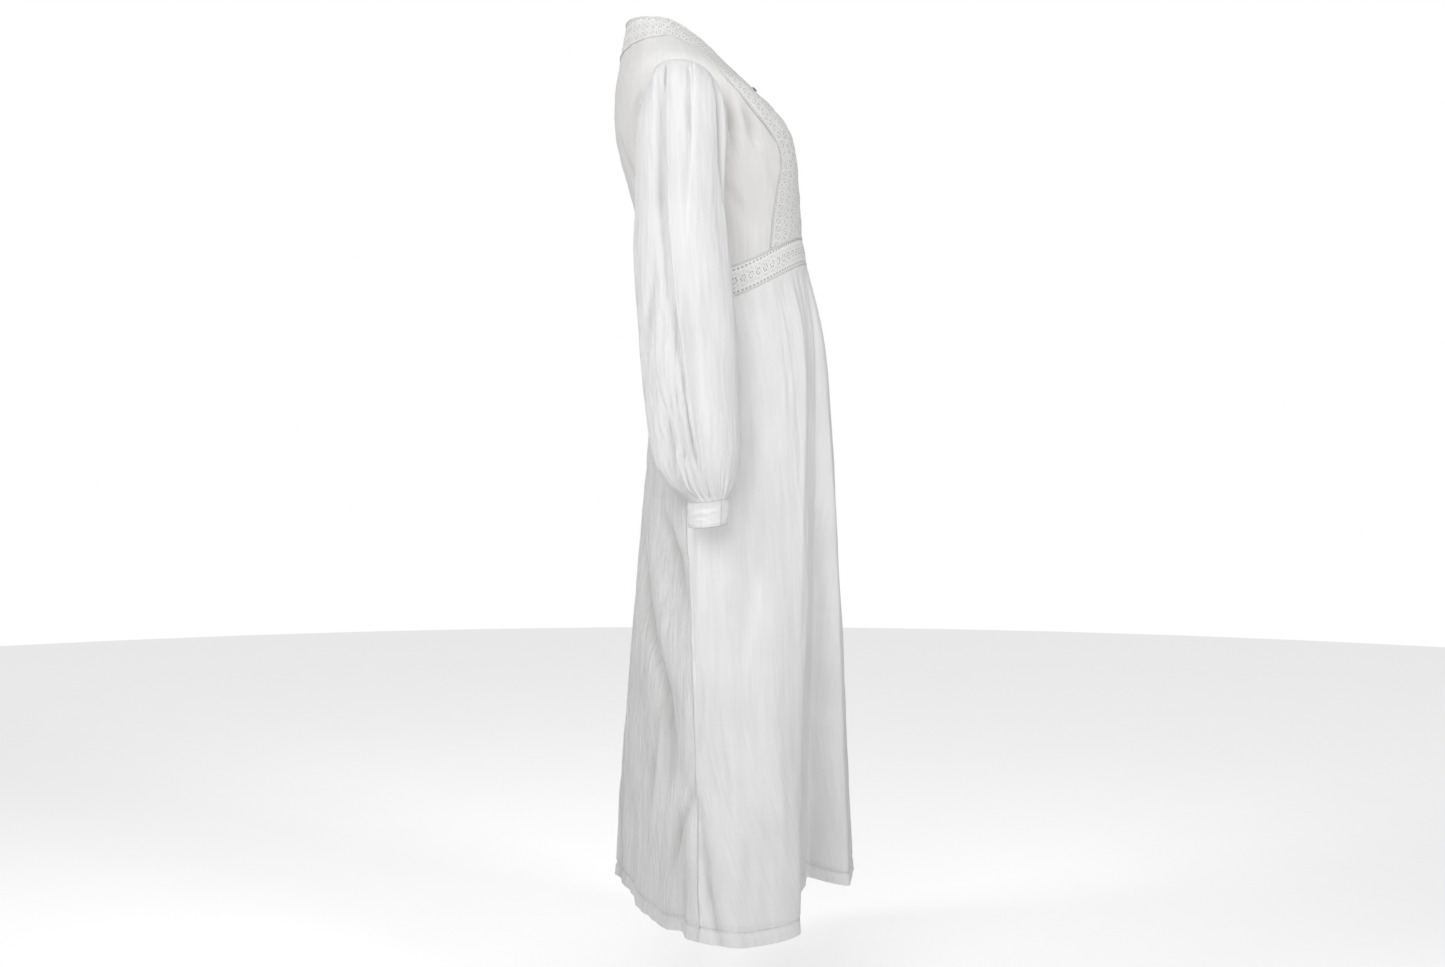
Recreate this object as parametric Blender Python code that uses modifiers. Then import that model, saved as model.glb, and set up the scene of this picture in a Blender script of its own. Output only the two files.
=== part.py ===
"""A long white gauze dress with a lace bib, a lace waistband and bishop sleeves, worn but empty.

The origin lies between the shoulders, where the wearer carries the dress. The front faces -Y and
the wearer's right is -X. Angles round the body run from 0 at centre front to 180 at centre back,
and are negative on the wearer's right. All sizes are in metres and all angles in degrees.
"""

import math
from collections import namedtuple

import bmesh
import bpy
import numpy as np
from mathutils import Vector

WALL = 0.0015
SEAM_GAP = 0.0003
SEAM_INSET = 0.0002
WELD = 1e-5
ACROSS_STEP = 0.5
UP_STEP = 0.02

# Body rings, from the waistband's upper edge (level 0) to the neck edge (level 5).
# cf is centre front and cb centre back. A power of 2 makes that half round, a higher one squarer.
BodyRing = namedtuple("BodyRing", "level cf_y cf_z side_x side_y side_z cb_y cb_z front_power back_power")
BODY_RINGS = [
    BodyRing(0.0, -0.1645, -0.258, 0.150, -0.045, -0.318, 0.050, -0.325, 2.1, 2.1),
    BodyRing(1.0, -0.1610, -0.205, 0.165, -0.030, -0.215, 0.080, -0.205, 2.3, 2.3),
    BodyRing(2.0, -0.1560, -0.140, 0.176, 0.000, -0.135, 0.102, -0.120, 2.3, 2.4),
    BodyRing(3.0, -0.1460, -0.100, 0.190, 0.022, -0.048, 0.104, -0.060, 2.1, 2.2),
    BodyRing(4.0, -0.1220, -0.0655, 0.117, 0.030, 0.006, 0.097, 0.000, 1.95, 2.0),
    BodyRing(5.0, -0.0930, -0.039, 0.075, 0.038, 0.043, 0.089, 0.051, 1.85, 2.0),
]
LIFT_SOFTNESS = 0.3
SIDE_SEAM = 92.0
SHOULDER_SEAM = 88.0
NECK_LEVEL = 5.0
BAND_LEVEL = 4.0

# The armhole, from the shoulder tip (turn 0) down its front and under the arm, then up its back.
HolePoint = namedtuple("HolePoint", "turn angle level")
ARMHOLE = [
    HolePoint(0.00, 88.0, 3.03),
    HolePoint(0.06, 80.5, 3.06),
    HolePoint(0.12, 74.5, 2.99),
    HolePoint(0.18, 71.2, 2.79),
    HolePoint(0.25, 70.3, 2.45),
    HolePoint(0.32, 71.8, 2.06),
    HolePoint(0.38, 75.5, 1.61),
    HolePoint(0.44, 82.5, 1.18),
    HolePoint(0.50, 92.0, 1.00),
    HolePoint(0.57, 103.0, 1.08),
    HolePoint(0.65, 113.5, 1.38),
    HolePoint(0.73, 119.5, 1.84),
    HolePoint(0.80, 116.5, 2.25),
    HolePoint(0.87, 109.0, 2.58),
    HolePoint(0.94, 99.0, 2.91),
    HolePoint(1.00, 88.0, 3.03),
]

# The seam between the lace bib and the plain front, from the waistband up and over to the shoulder.
SeamPoint = namedtuple("SeamPoint", "along angle level")
BIB_SEAM = [
    SeamPoint(0.00, 55.0, 0.00),
    SeamPoint(0.12, 52.0, 0.50),
    SeamPoint(0.25, 46.0, 1.05),
    SeamPoint(0.37, 38.5, 1.60),
    SeamPoint(0.45, 39.0, 1.88),
    SeamPoint(0.56, 46.5, 2.22),
    SeamPoint(0.67, 56.0, 2.58),
    SeamPoint(0.78, 64.0, 2.95),
    SeamPoint(0.88, 70.5, 3.45),
    SeamPoint(0.95, 77.5, 3.88),
    SeamPoint(1.00, SHOULDER_SEAM, BAND_LEVEL),
]

# Skirt rings, from the waistband's lower edge (drop 0) to the hem (drop 1). seam is the side seam's angle.
SkirtRing = namedtuple("SkirtRing", "drop cf_y cf_z side_x side_y side_z cb_y cb_z front_power back_power seam")
SKIRT_RINGS = [
    SkirtRing(0.00, -0.1710, -0.294, 0.150, -0.045, -0.358, 0.048, -0.365, 2.1, 2.1, 92.0),
    SkirtRing(0.10, -0.1930, -0.388, 0.166, -0.047, -0.430, 0.050, -0.440, 2.2, 2.0, 102.0),
    SkirtRing(0.28, -0.2080, -0.560, 0.196, -0.050, -0.585, 0.061, -0.590, 2.3, 1.9, 114.5),
    SkirtRing(0.52, -0.2205, -0.780, 0.252, -0.058, -0.790, 0.078, -0.790, 2.3, 1.8, 113.5),
    SkirtRing(0.76, -0.2275, -0.972, 0.302, -0.068, -0.985, 0.096, -0.985, 2.2, 1.75, 111.8),
    SkirtRing(1.00, -0.2350, -1.155, 0.346, -0.075, -1.183, 0.107, -1.178, 2.1, 1.75, 110.0),
]

# Columns of cloth across each half of the skirt's front, closer together where the folds are.
SkirtArc = namedtuple("SkirtArc", "start end columns")
FRONT_ARCS = [
    SkirtArc(0.0, 18.0, 4),
    SkirtArc(18.0, 36.0, 7),
    SkirtArc(36.0, 50.0, 3),
    SkirtArc(50.0, 66.0, 6),
    SkirtArc(66.0, 92.0, 6),
]
BACK_COLUMNS = 40
SKIRT_ROWS = 12
SKIRT_ROW_POWER = 1.4

# Folds of the skirt: top and foot are the angles of the fold's line, the widths reach towards centre
# front and centre back at the hem, depth is inward at the hem, a flatness of 1 is a round trough and
# 2 a flat-floored one, and lift is how far the hem rises there.
SkirtFold = namedtuple("SkirtFold", "name top foot front_width back_width depth flatness lift start full")
SKIRT_FOLDS = [
    SkirtFold("right_front_valley", -28.0, -43.0, 21.0, 21.0, 0.080, 2.0, 0.011, 0.02, 1.0),
    SkirtFold("left_front_valley", 30.0, 46.0, 21.0, 20.0, 0.070, 1.8, 0.008, 0.03, 1.0),
    SkirtFold("right_side_hollow", -80.0, -82.0, 12.0, 12.0, 0.006, 1.0, 0.0, 0.10, 1.0),
    SkirtFold("left_side_hollow", 84.0, 82.0, 12.0, 12.0, 0.008, 1.0, 0.0, 0.10, 1.0),
    SkirtFold("right_hem_notch", -117.0, -120.0, 8.0, 9.0, 0.014, 1.0, 0.005, 0.35, 1.0),
    SkirtFold("right_back_fold", -132.0, -136.0, 12.0, 13.0, 0.022, 1.0, 0.0, 0.12, 0.9),
    SkirtFold("right_back_inner", -156.0, -160.0, 10.0, 11.0, 0.014, 1.0, 0.0, 0.10, 1.0),
    SkirtFold("left_hem_notch", 118.0, 122.0, 9.0, 9.0, 0.015, 1.0, 0.004, 0.30, 1.0),
    SkirtFold("left_back_fold", 138.0, 142.0, 12.0, 12.0, 0.024, 1.0, 0.0, 0.14, 0.9),
    SkirtFold("left_back_inner", 164.0, 166.0, 9.0, 10.0, 0.013, 1.0, 0.0, 0.10, 1.0),
]
FOLD_WIDTH_AT_TOP = 0.6
SKIRT_GATHERS = 32
SKIRT_GATHER_DEPTH = 0.0024
SKIRT_GATHER_REACH = 0.20

# Left sleeve rings from the upper arm to the cuff; the share runs from the armhole (0) to the cuff (1).
SleeveRing = namedtuple("SleeveRing", "share z centre_x centre_y half_x half_y")
SLEEVE_RINGS = [
    SleeveRing(0.30, -0.250, 0.236, 0.006, 0.050, 0.0595),
    SleeveRing(0.40, -0.306, 0.241, 0.004, 0.052, 0.0632),
    SleeveRing(0.56, -0.407, 0.250, -0.003, 0.053, 0.0641),
    SleeveRing(0.72, -0.503, 0.258, -0.009, 0.052, 0.0615),
    SleeveRing(0.82, -0.556, 0.264, -0.015, 0.051, 0.0584),
    SleeveRing(0.90, -0.590, 0.268, -0.019, 0.047, 0.0520),
    SleeveRing(0.96, -0.614, 0.270, -0.025, 0.040, 0.0410),
    SleeveRing(1.00, -0.6290, 0.272, -0.0316, 0.0335, 0.0268),
]
CAP_END = SLEEVE_RINGS[0].share
CAP_START_PULL = 0.35
CAP_END_PULL = 0.40
CAP_SPREAD = 0.25
CAP_FALL = 0.35
CAP_ROWS = 5
ARM_ROWS = 8
SLEEVE_COLUMNS = 48

# Folds of the sleeve, round its turn: 0 outer side, 0.25 front, 0.5 next to the body, 0.75 back.
SleeveFold = namedtuple("SleeveFold", "name top foot width depth start end")
SLEEVE_FOLDS = [
    SleeveFold("rear_groove", -0.10, 0.02, 0.055, 0.012, 0.06, 0.98),
    SleeveFold("front_groove", 0.135, 0.13, 0.040, 0.008, 0.05, 0.55),
    SleeveFold("back_groove", 0.78, 0.82, 0.050, 0.006, 0.20, 0.92),
    SleeveFold("inner_groove", 0.48, 0.45, 0.070, 0.008, 0.32, 0.95),
]
SLEEVE_GATHERS = 16
HEAD_PLEAT_DEPTH = 0.0024
HEAD_PLEAT_REACH = 0.16
FOOT_GATHER_DEPTH = 0.0026
FOOT_GATHER_REACH = 0.14

CUFF_HEIGHT = 0.032
CUFF_NARROWING = 0.94
CUFF_DROOP = 0.004
CUFF_SLOPE = 0.10
CUFF_OVERLAP = 0.09
CUFF_LIFT = 0.0023
CUFF_OPENING = 0.01
CUFF_COLUMNS = 30

PANEL_COLUMNS = 7
SIDE_SEAM_ROWS = 4
HALF_ARMHOLE_ROWS = 12
PANEL_ROWS = SIDE_SEAM_ROWS + HALF_ARMHOLE_ROWS
BIB_COLUMNS = 8
BACK_NECK_ROWS = 6
FRONT_NECK_ROWS = 6

BUTTON_RADIUS = 0.0042
BUTTON_THICKNESS = 0.0030
BUTTON_LEVEL = 4.86

GAUZE = (0.80, 0.80, 0.80)
LACE = (0.76, 0.75, 0.73)
BUTTON_BROWN = (0.20, 0.12, 0.07)
ACROSS = np.array([-1.0, 1.0, 1.0])


def clear_scene():
    for thing in list(bpy.data.objects):
        bpy.data.objects.remove(thing, do_unlink=True)


def ease(keys, values, x):
    """A smooth curve through the values at the keys, held level beyond them."""
    keys = np.asarray(keys, float)
    values = np.asarray(values, float)
    x = np.clip(np.asarray(x, float), keys[0], keys[-1])
    slopes = np.gradient(values, keys)
    i = np.clip(np.searchsorted(keys, x, side="right") - 1, 0, len(keys) - 2)
    step = keys[i + 1] - keys[i]
    f = (x - keys[i]) / step
    start = values[i] * (2 * f**3 - 3 * f**2 + 1) + slopes[i] * step * (f**3 - 2 * f**2 + f)
    end = values[i + 1] * (3 * f**2 - 2 * f**3) + slopes[i + 1] * step * (f**3 - f**2)
    return start + end


def column(rows, name, x):
    """One column of a table, read smoothly against its first number."""
    return ease([getattr(row, rows[0]._fields[0]) for row in rows], [getattr(row, name) for row in rows], x)


def smooth_step(x):
    x = np.clip(x, 0, 1)
    return x * x * (3 - 2 * x)


def bump(x):
    return np.where(np.abs(x) < 1, 0.5 + 0.5 * np.cos(np.pi * np.clip(x, -1, 1)), 0.0)


def signed(angle):
    return (np.asarray(angle) + 180.0) % 360.0 - 180.0


def ring_point(rows, angle, level):
    """Points round the body: a rounded half in front and one behind, each lifted towards its end."""
    turn = np.radians(np.abs(angle))
    sideways = np.abs(np.sin(turn))
    endways = np.abs(np.cos(turn))
    front = np.cos(turn) >= 0
    power = np.where(front, column(rows, "front_power", level), column(rows, "back_power", level))
    end_y = np.where(front, column(rows, "cf_y", level), column(rows, "cb_y", level))
    end_z = np.where(front, column(rows, "cf_z", level), column(rows, "cb_z", level))
    side_y = column(rows, "side_y", level)
    side_z = column(rows, "side_z", level)
    full_lift = math.hypot(1, LIFT_SOFTNESS) - LIFT_SOFTNESS
    lift = (np.hypot(endways, LIFT_SOFTNESS) - LIFT_SOFTNESS) / full_lift
    x = np.sign(angle) * column(rows, "side_x", level) * sideways ** (2 / power)
    y = side_y + (end_y - side_y) * endways ** (2 / power)
    z = side_z + (end_z - side_z) * lift
    return np.stack([x, y, z], axis=-1)


def armhole(turn):
    """Angle and level round the armhole: 0 at the shoulder tip, 0.25 in front and 0.5 underneath."""
    turn = np.asarray(turn, float) % 1.0
    return column(ARMHOLE, "angle", turn), column(ARMHOLE, "level", turn)


def outer_edge(last_turn):
    """Angles and levels up the side seam and then half way round the armhole, ending at last_turn."""
    hole_angles, hole_levels = armhole(np.linspace(0.5, last_turn, HALF_ARMHOLE_ROWS + 1))
    seam_levels = np.arange(SIDE_SEAM_ROWS) / SIDE_SEAM_ROWS
    angles = np.concatenate([np.full(SIDE_SEAM_ROWS, SIDE_SEAM), hole_angles])
    return angles, np.concatenate([seam_levels, hole_levels])


def bib_edge():
    """Angles and levels up the seam beside the lace bib, to the shoulder."""
    share = np.linspace(0, 1, PANEL_ROWS + 1)
    return column(BIB_SEAM, "angle", share), column(BIB_SEAM, "level", share)


def back_edge():
    """Angles and levels up centre back, then along the neck seam to the shoulder."""
    up = PANEL_ROWS - BACK_NECK_ROWS
    neck_angles = np.linspace(180.0, SHOULDER_SEAM, BACK_NECK_ROWS + 1)
    angles = np.concatenate([np.full(up, 180.0), neck_angles])
    levels = np.concatenate([np.linspace(0, BAND_LEVEL, up + 1)[:-1], np.full(BACK_NECK_ROWS + 1, BAND_LEVEL)])
    return angles, levels


def ruled(first, last, columns):
    """Angles and levels of a panel whose columns run straight from one edge to the other."""
    share = np.linspace(0, 1, columns + 1)[None, :]
    angle = first[0][:, None] * (1 - share) + last[0][:, None] * share
    level = first[1][:, None] * (1 - share) + last[1][:, None] * share
    return angle, level


def normals_of(surface, across, up):
    """Which way a surface faces, from its slopes across and up."""
    turned = [surface(across + step, up) for step in (-ACROSS_STEP, ACROSS_STEP)]
    raised = [surface(across, up + step) for step in (-UP_STEP, UP_STEP)]
    normals = np.cross(turned[1] - turned[0], raised[1] - raised[0])
    return normals / np.linalg.norm(normals, axis=-1, keepdims=True)


def body_point(angle, level):
    return ring_point(BODY_RINGS, signed(angle), level)


def inset(grid, *edges, distance=SEAM_INSET):
    """Draws the named edges of a grid inward, so that two pieces stay apart at their seam."""
    moved = grid.copy()
    lines = {"bottom": (0, 1, 0), "top": (-1, -2, 0), "first": (0, 1, 1), "last": (-1, -2, 1)}
    for name in edges:
        edge, inner, axis = lines[name]
        here = np.take(moved, edge, axis=axis)
        step = np.take(moved, inner, axis=axis) - here
        here = here + step * distance / np.linalg.norm(step, axis=-1, keepdims=True)
        if axis == 0:
            moved[edge] = here
        else:
            moved[:, edge] = here
    return moved


def mirrored(grid):
    return grid[:, ::-1] * ACROSS


def material(name, colour, roughness):
    made = bpy.data.materials.new(name)
    made.use_nodes = True
    shader = made.node_tree.nodes["Principled BSDF"]
    shader.inputs["Base Color"].default_value = (*colour, 1.0)
    shader.inputs["Roughness"].default_value = roughness
    shader.inputs["Metallic"].default_value = 0.0
    return made


def sheet_of(grids):
    """An open mesh through grids of points, welded where they meet.

    Columns x rows of each grid points out of the dress.
    """
    sheet = bmesh.new()
    for grid in grids:
        rows, columns = grid.shape[0] - 1, grid.shape[1] - 1
        made = bmesh.ops.create_grid(sheet, x_segments=columns, y_segments=rows, size=1.0)
        for vertex in made["verts"]:
            across = round((vertex.co.x + 1) / 2 * columns)
            up = round((vertex.co.y + 1) / 2 * rows)
            vertex.co = grid[up, across]
    bmesh.ops.remove_doubles(sheet, verts=sheet.verts, dist=WELD)
    return sheet


def piece_of(name, sheet, colour):
    mesh = bpy.data.meshes.new(name)
    sheet.to_mesh(mesh)
    sheet.free()
    mesh.shade_smooth()
    mesh.materials.append(material(name + "_cloth", colour, 0.9))
    piece = bpy.data.objects.new(name, mesh)
    dress.objects.link(piece)
    return piece


def cloth(name, grids, colour):
    """Cloth with its wall inside the points of its grids."""
    piece = piece_of(name, sheet_of(grids), colour)
    wall = piece.modifiers.new("wall", "SOLIDIFY")
    wall.thickness = WALL
    wall.offset = -1.0


def fitted_cloth(name, halves, colour):
    """Cloth whose wall follows the normals given, so that two pieces meet square at their seam.

    Each half is a grid of points and the normals there.
    """
    sheet = sheet_of([points for points, _ in halves])
    places = np.concatenate([points.reshape(-1, 3) for points, _ in halves])
    normals = np.concatenate([normals.reshape(-1, 3) for _, normals in halves])
    copied = bmesh.ops.extrude_face_region(sheet, geom=sheet.faces[:], use_keep_orig=True)
    for vertex in copied["geom"]:
        if isinstance(vertex, bmesh.types.BMVert):
            nearest = np.argmin(np.linalg.norm(places - np.array(vertex.co), axis=1))
            vertex.co = vertex.co - Vector(normals[nearest]) * WALL
    bmesh.ops.recalc_face_normals(sheet, faces=sheet.faces)
    piece_of(name, sheet, colour)


def make_fronts():
    angle, level = ruled(bib_edge(), outer_edge(0.0), PANEL_COLUMNS)
    points = inset(body_point(angle, level), "first", "last", "bottom", "top")
    normals = normals_of(body_point, angle, level)
    fitted_cloth("bodice_front_left", [(points, normals)], GAUZE)
    fitted_cloth("bodice_front_right", [(mirrored(points), mirrored(normals))], GAUZE)


def make_back():
    angle, level = ruled(back_edge(), outer_edge(1.0), PANEL_COLUMNS)
    points = inset(body_point(angle, level), "last", "bottom", "top")
    neck_start = PANEL_ROWS - BACK_NECK_ROWS
    below_band = inset(points, "first")
    points[neck_start + 1 :, 0] = below_band[neck_start + 1 :, 0]
    points[neck_start, 0] += (0.0, 0.0, -SEAM_INSET)
    points[: neck_start + 1, 0, 0] = 0.0
    normals = normals_of(body_point, angle, level)
    normals[: neck_start + 1, 0, 0] = 0.0
    halves = [(points[:, ::-1], normals[:, ::-1]), (points * ACROSS, normals * ACROSS)]
    fitted_cloth("bodice_back", halves, GAUZE)


def make_bib():
    """The lace runs round the neck from centre back, turns at the throat and goes down centre front."""
    seam_angles, seam_levels = bib_edge()
    neck_angles = np.linspace(180.0, SHOULDER_SEAM, BACK_NECK_ROWS + 1)
    outer = (
        np.concatenate([neck_angles, seam_angles[-2::-1]]),
        np.concatenate([np.full(BACK_NECK_ROWS + 1, BAND_LEVEL), seam_levels[-2::-1]]),
    )
    round_neck = np.linspace(SHOULDER_SEAM, 0.0, FRONT_NECK_ROWS + 1)[1:]
    down_front = np.linspace(NECK_LEVEL, 0.0, PANEL_ROWS - FRONT_NECK_ROWS + 1)[1:]
    inner = (
        np.concatenate([neck_angles, round_neck, np.zeros(len(down_front))]),
        np.concatenate([np.full(BACK_NECK_ROWS + 1 + FRONT_NECK_ROWS, NECK_LEVEL), down_front]),
    )
    angle, level = ruled(outer, inner, BIB_COLUMNS)
    points = inset(body_point(angle, level), "first", "last", "bottom", "top")
    normals = normals_of(body_point, angle, level)
    fitted_cloth("bib_lace_left", [(points, normals)], LACE)
    fitted_cloth("bib_lace_right", [(mirrored(points), mirrored(normals))], LACE)


def front_stations():
    """Angles of the columns across the skirt's front, at the waistband."""
    half = [0.0]
    for arc in FRONT_ARCS:
        half.extend(np.linspace(arc.start, arc.end, arc.columns + 1)[1:])
    half = np.array(half)
    return np.concatenate([-half[:0:-1], half])


def back_stations():
    return np.linspace(SIDE_SEAM, 360.0 - SIDE_SEAM, BACK_COLUMNS + 1)


def follow_seam(station, drop):
    """The angle of a column at a drop: the outer columns lean back with the side seam."""
    seam = column(SKIRT_RINGS, "seam", drop)
    last_arc = FRONT_ARCS[-1]
    folded = np.abs(signed(station))
    outward = last_arc.start + (folded - last_arc.start) * (seam - last_arc.start) / (SIDE_SEAM - last_arc.start)
    behind = 180.0 - (180.0 - folded) * (180.0 - seam) / (180.0 - SIDE_SEAM)
    angle = np.where(folded <= last_arc.start, folded, np.where(folded <= SIDE_SEAM, outward, behind))
    return np.where(signed(station) < 0, -angle, angle)


def skirt_point(station, drop):
    """Points of the skirt with its folds and its gathers."""
    angle = follow_seam(station, drop)
    points = ring_point(SKIRT_RINGS, angle, drop)
    centre_y = column(SKIRT_RINGS, "side_y", drop)
    inward = np.stack([-points[..., 0], centre_y - points[..., 1]], axis=-1)
    inward /= np.linalg.norm(inward, axis=-1, keepdims=True)
    depth = np.zeros(np.broadcast(angle, drop).shape)
    for fold in SKIRT_FOLDS:
        line = fold.top + (fold.foot - fold.top) * drop
        off = signed(angle - line)
        towards_back = (off > 0) == (fold.foot > 0)
        width = np.where(towards_back, fold.back_width, fold.front_width)
        width = width * (FOLD_WIDTH_AT_TOP + (1 - FOLD_WIDTH_AT_TOP) * drop)
        grown = np.clip((drop - fold.start) / (fold.full - fold.start), 0, 1)
        shape = smooth_step((1 - np.abs(off) / width) * fold.flatness) * grown
        depth += fold.depth * shape
        points[..., 2] += fold.lift * shape * drop**2
    rise = smooth_step(drop / 0.03) * (1 - smooth_step(drop / SKIRT_GATHER_REACH))
    uneven = 1 + 0.4 * np.sin(np.radians(angle) * 5 + 1)
    depth += SKIRT_GATHER_DEPTH * rise * uneven * (0.5 - 0.5 * np.cos(np.radians(angle) * SKIRT_GATHERS))
    points[..., :2] += inward * depth[..., None]
    return points


def hem_up(station, rise):
    return skirt_point(station, 1 - rise)


def skirt_panel(name, stations):
    """Rows from the hem up to the waistband, closer together near the waistband."""
    rises = 1 - np.linspace(1, 0, SKIRT_ROWS + 1) ** SKIRT_ROW_POWER
    station, rise = np.meshgrid(stations, rises)
    points = inset(hem_up(station, rise), "first", "last", "top")
    fitted_cloth(name, [(points, normals_of(hem_up, station, rise))], GAUZE)


def make_skirt():
    skirt_panel("skirt_front", front_stations())
    skirt_panel("skirt_back", back_stations())


def waistband_point(station, rise):
    """The band runs straight from the skirt's upper edge (rise 0) to the bodice's lower edge (rise 1)."""
    top = body_point(station, np.zeros_like(station))
    foot = skirt_point(station, np.zeros_like(station))
    return foot + (top - foot) * rise[..., None]


def waistband_panel(name, stations):
    station, rise = np.meshgrid(stations, np.linspace(0, 1, 3))
    points = inset(waistband_point(station, rise), "first", "last", "top", "bottom")
    fitted_cloth(name, [(points, normals_of(waistband_point, station, rise))], LACE)


def make_waistband():
    waistband_panel("waistband_front", front_stations())
    waistband_panel("waistband_back", back_stations())


def cuff_tilt(points, turn, centre_y):
    """The cuff hangs a little lower on its outer side and higher in front."""
    points[..., 2] += CUFF_SLOPE * (centre_y - points[..., 1]) - CUFF_DROOP * np.cos(2 * np.pi * turn)


def sleeve_base(turn, share):
    """Points of the left sleeve without folds: a cap from the armhole, then level rings down the arm."""
    a = 2 * np.pi * turn
    arm = np.maximum(share, CAP_END)
    centre_y = column(SLEEVE_RINGS, "centre_y", arm)
    ring = np.stack([
        column(SLEEVE_RINGS, "centre_x", arm) + column(SLEEVE_RINGS, "half_x", arm) * np.cos(a),
        centre_y - column(SLEEVE_RINGS, "half_y", arm) * np.sin(a),
        column(SLEEVE_RINGS, "z", arm),
    ], axis=-1)
    tilted = ring.copy()
    cuff_tilt(tilted, turn, centre_y)
    near_cuff = smooth_step((arm - 0.8) / 0.2)[..., None]
    ring = ring * (1 - near_cuff) + tilted * near_cuff

    stitched = np.linspace(0, 1, 2 * HALF_ARMHOLE_ROWS + 1)
    corners = ring_point(BODY_RINGS, *armhole(stitched))
    hole = np.stack([np.interp(turn, stitched, corners[:, i]) for i in range(3)], axis=-1)
    hole[..., 0] += SEAM_GAP
    span = np.linalg.norm(ring - hole, axis=-1, keepdims=True)
    out = np.stack([np.ones_like(a), -CAP_SPREAD * np.sin(a), np.full_like(a, -CAP_FALL)], axis=-1)
    out /= np.linalg.norm(out, axis=-1, keepdims=True)
    first = hole + out * span * CAP_START_PULL
    second = ring + np.array([0.0, 0.0, 1.0]) * span * CAP_END_PULL
    f = np.clip(share / CAP_END, 0, 1)[..., None]
    cap = hole * (1 - f) ** 3 + 3 * first * f * (1 - f) ** 2 + 3 * second * f**2 * (1 - f) + ring * f**3
    return np.where((share < CAP_END)[..., None], cap, ring)


def sleeve_grid():
    """Columns once round the sleeve and rows from the armhole down to the cuff."""
    cap_rows = np.linspace(0, CAP_END, CAP_ROWS + 1)
    arm_rows = CAP_END + (1 - CAP_END) * (1 - (1 - np.linspace(0, 1, ARM_ROWS + 1)[1:]) ** 1.3)
    turn, share = np.meshgrid(np.linspace(0, 1, SLEEVE_COLUMNS + 1), np.concatenate([cap_rows, arm_rows]))
    points = sleeve_base(turn, share)
    inward = points[:, :-1].mean(axis=1, keepdims=True) - points
    inward /= np.linalg.norm(inward, axis=-1, keepdims=True)
    depth = np.zeros(turn.shape)
    for fold in SLEEVE_FOLDS:
        line = fold.top + (fold.foot - fold.top) * share
        off = (turn - line + 0.5) % 1.0 - 0.5
        run = np.clip((share - fold.start) / (fold.end - fold.start), 0, 1)
        depth += fold.depth * bump(off / fold.width) * np.sin(np.pi * run)
    wave = 0.5 - 0.5 * np.cos(2 * np.pi * turn * SLEEVE_GATHERS)
    outer_half = 0.5 + 0.5 * np.cos(2 * np.pi * turn)
    head = smooth_step(share / 0.05) * (1 - smooth_step(share / HEAD_PLEAT_REACH)) * outer_half
    foot = smooth_step((1 - share) / 0.02) * (1 - smooth_step((1 - share) / FOOT_GATHER_REACH))
    depth += wave * (HEAD_PLEAT_DEPTH * head + FOOT_GATHER_DEPTH * foot)
    return points + inward * depth[..., None]


def make_sleeves():
    sleeve = sleeve_grid()
    cloth("sleeve_left", [sleeve], GAUZE)
    cloth("sleeve_right", [mirrored(sleeve)], GAUZE)


def cuff_grid():
    """A band that starts at its opening, goes once round and laps over its own start."""
    end = SLEEVE_RINGS[-1]
    run = np.linspace(0, 1 + CUFF_OVERLAP, CUFF_COLUMNS + 1)
    turn, height = np.meshgrid(CUFF_OPENING + run, np.linspace(0, 1, 3))
    lapped = CUFF_LIFT * smooth_step((run - 1 + CUFF_OVERLAP) / CUFF_OVERLAP)
    size = 1 + (CUFF_NARROWING - 1) * height
    a = 2 * np.pi * turn
    points = np.stack([
        end.centre_x + (end.half_x * size + lapped) * np.cos(a),
        end.centre_y - (end.half_y * size + lapped) * np.sin(a),
        end.z - SEAM_GAP - CUFF_HEIGHT * height,
    ], axis=-1)
    cuff_tilt(points, turn, end.centre_y)
    return points


def make_cuffs():
    cuff = cuff_grid()
    cloth("cuff_left", [cuff], GAUZE)
    cloth("cuff_right", [mirrored(cuff)], GAUZE)


def make_neck_button():
    """A small round button on the lace, at the top of the front opening."""
    at, above, below = ring_point(BODY_RINGS, np.zeros(3), BUTTON_LEVEL + np.array([0.0, 0.05, -0.05]))
    slope = above - below
    normal = np.array([0.0, -slope[2], slope[1]])
    normal /= np.linalg.norm(normal)
    bpy.ops.mesh.primitive_cylinder_add(vertices=20, radius=BUTTON_RADIUS, depth=BUTTON_THICKNESS)
    button = bpy.context.object
    button.name = "neck_button"
    button.location = at + normal * (BUTTON_THICKNESS / 2 + SEAM_GAP)
    button.rotation_euler = (math.atan2(-normal[1], normal[2]), 0.0, 0.0)
    rounding = button.modifiers.new("rounding", "BEVEL")
    rounding.width = BUTTON_THICKNESS / 4
    rounding.segments = 2
    button.data.materials.append(material("neck_button_horn", BUTTON_BROWN, 0.4))
    button.data.shade_smooth()
    for collection in button.users_collection:
        collection.objects.unlink(button)
    dress.objects.link(button)


clear_scene()
dress = bpy.data.collections.new("maxi_dress")
bpy.context.scene.collection.children.link(dress)
make_fronts()
make_back()
make_bib()
make_waistband()
make_skirt()
make_sleeves()
make_cuffs()
make_neck_button()
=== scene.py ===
"""Looks of the maxi dress: fine crinkled gauze, lace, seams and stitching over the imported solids.

The frame is the solids' own: metres, +Z up, the front faces -Y and the wearer's right is -X. Angles
round the body run from 0 at centre front to 180 at centre back, negative on the wearer's right.
"""

import math
from collections import namedtuple

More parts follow.
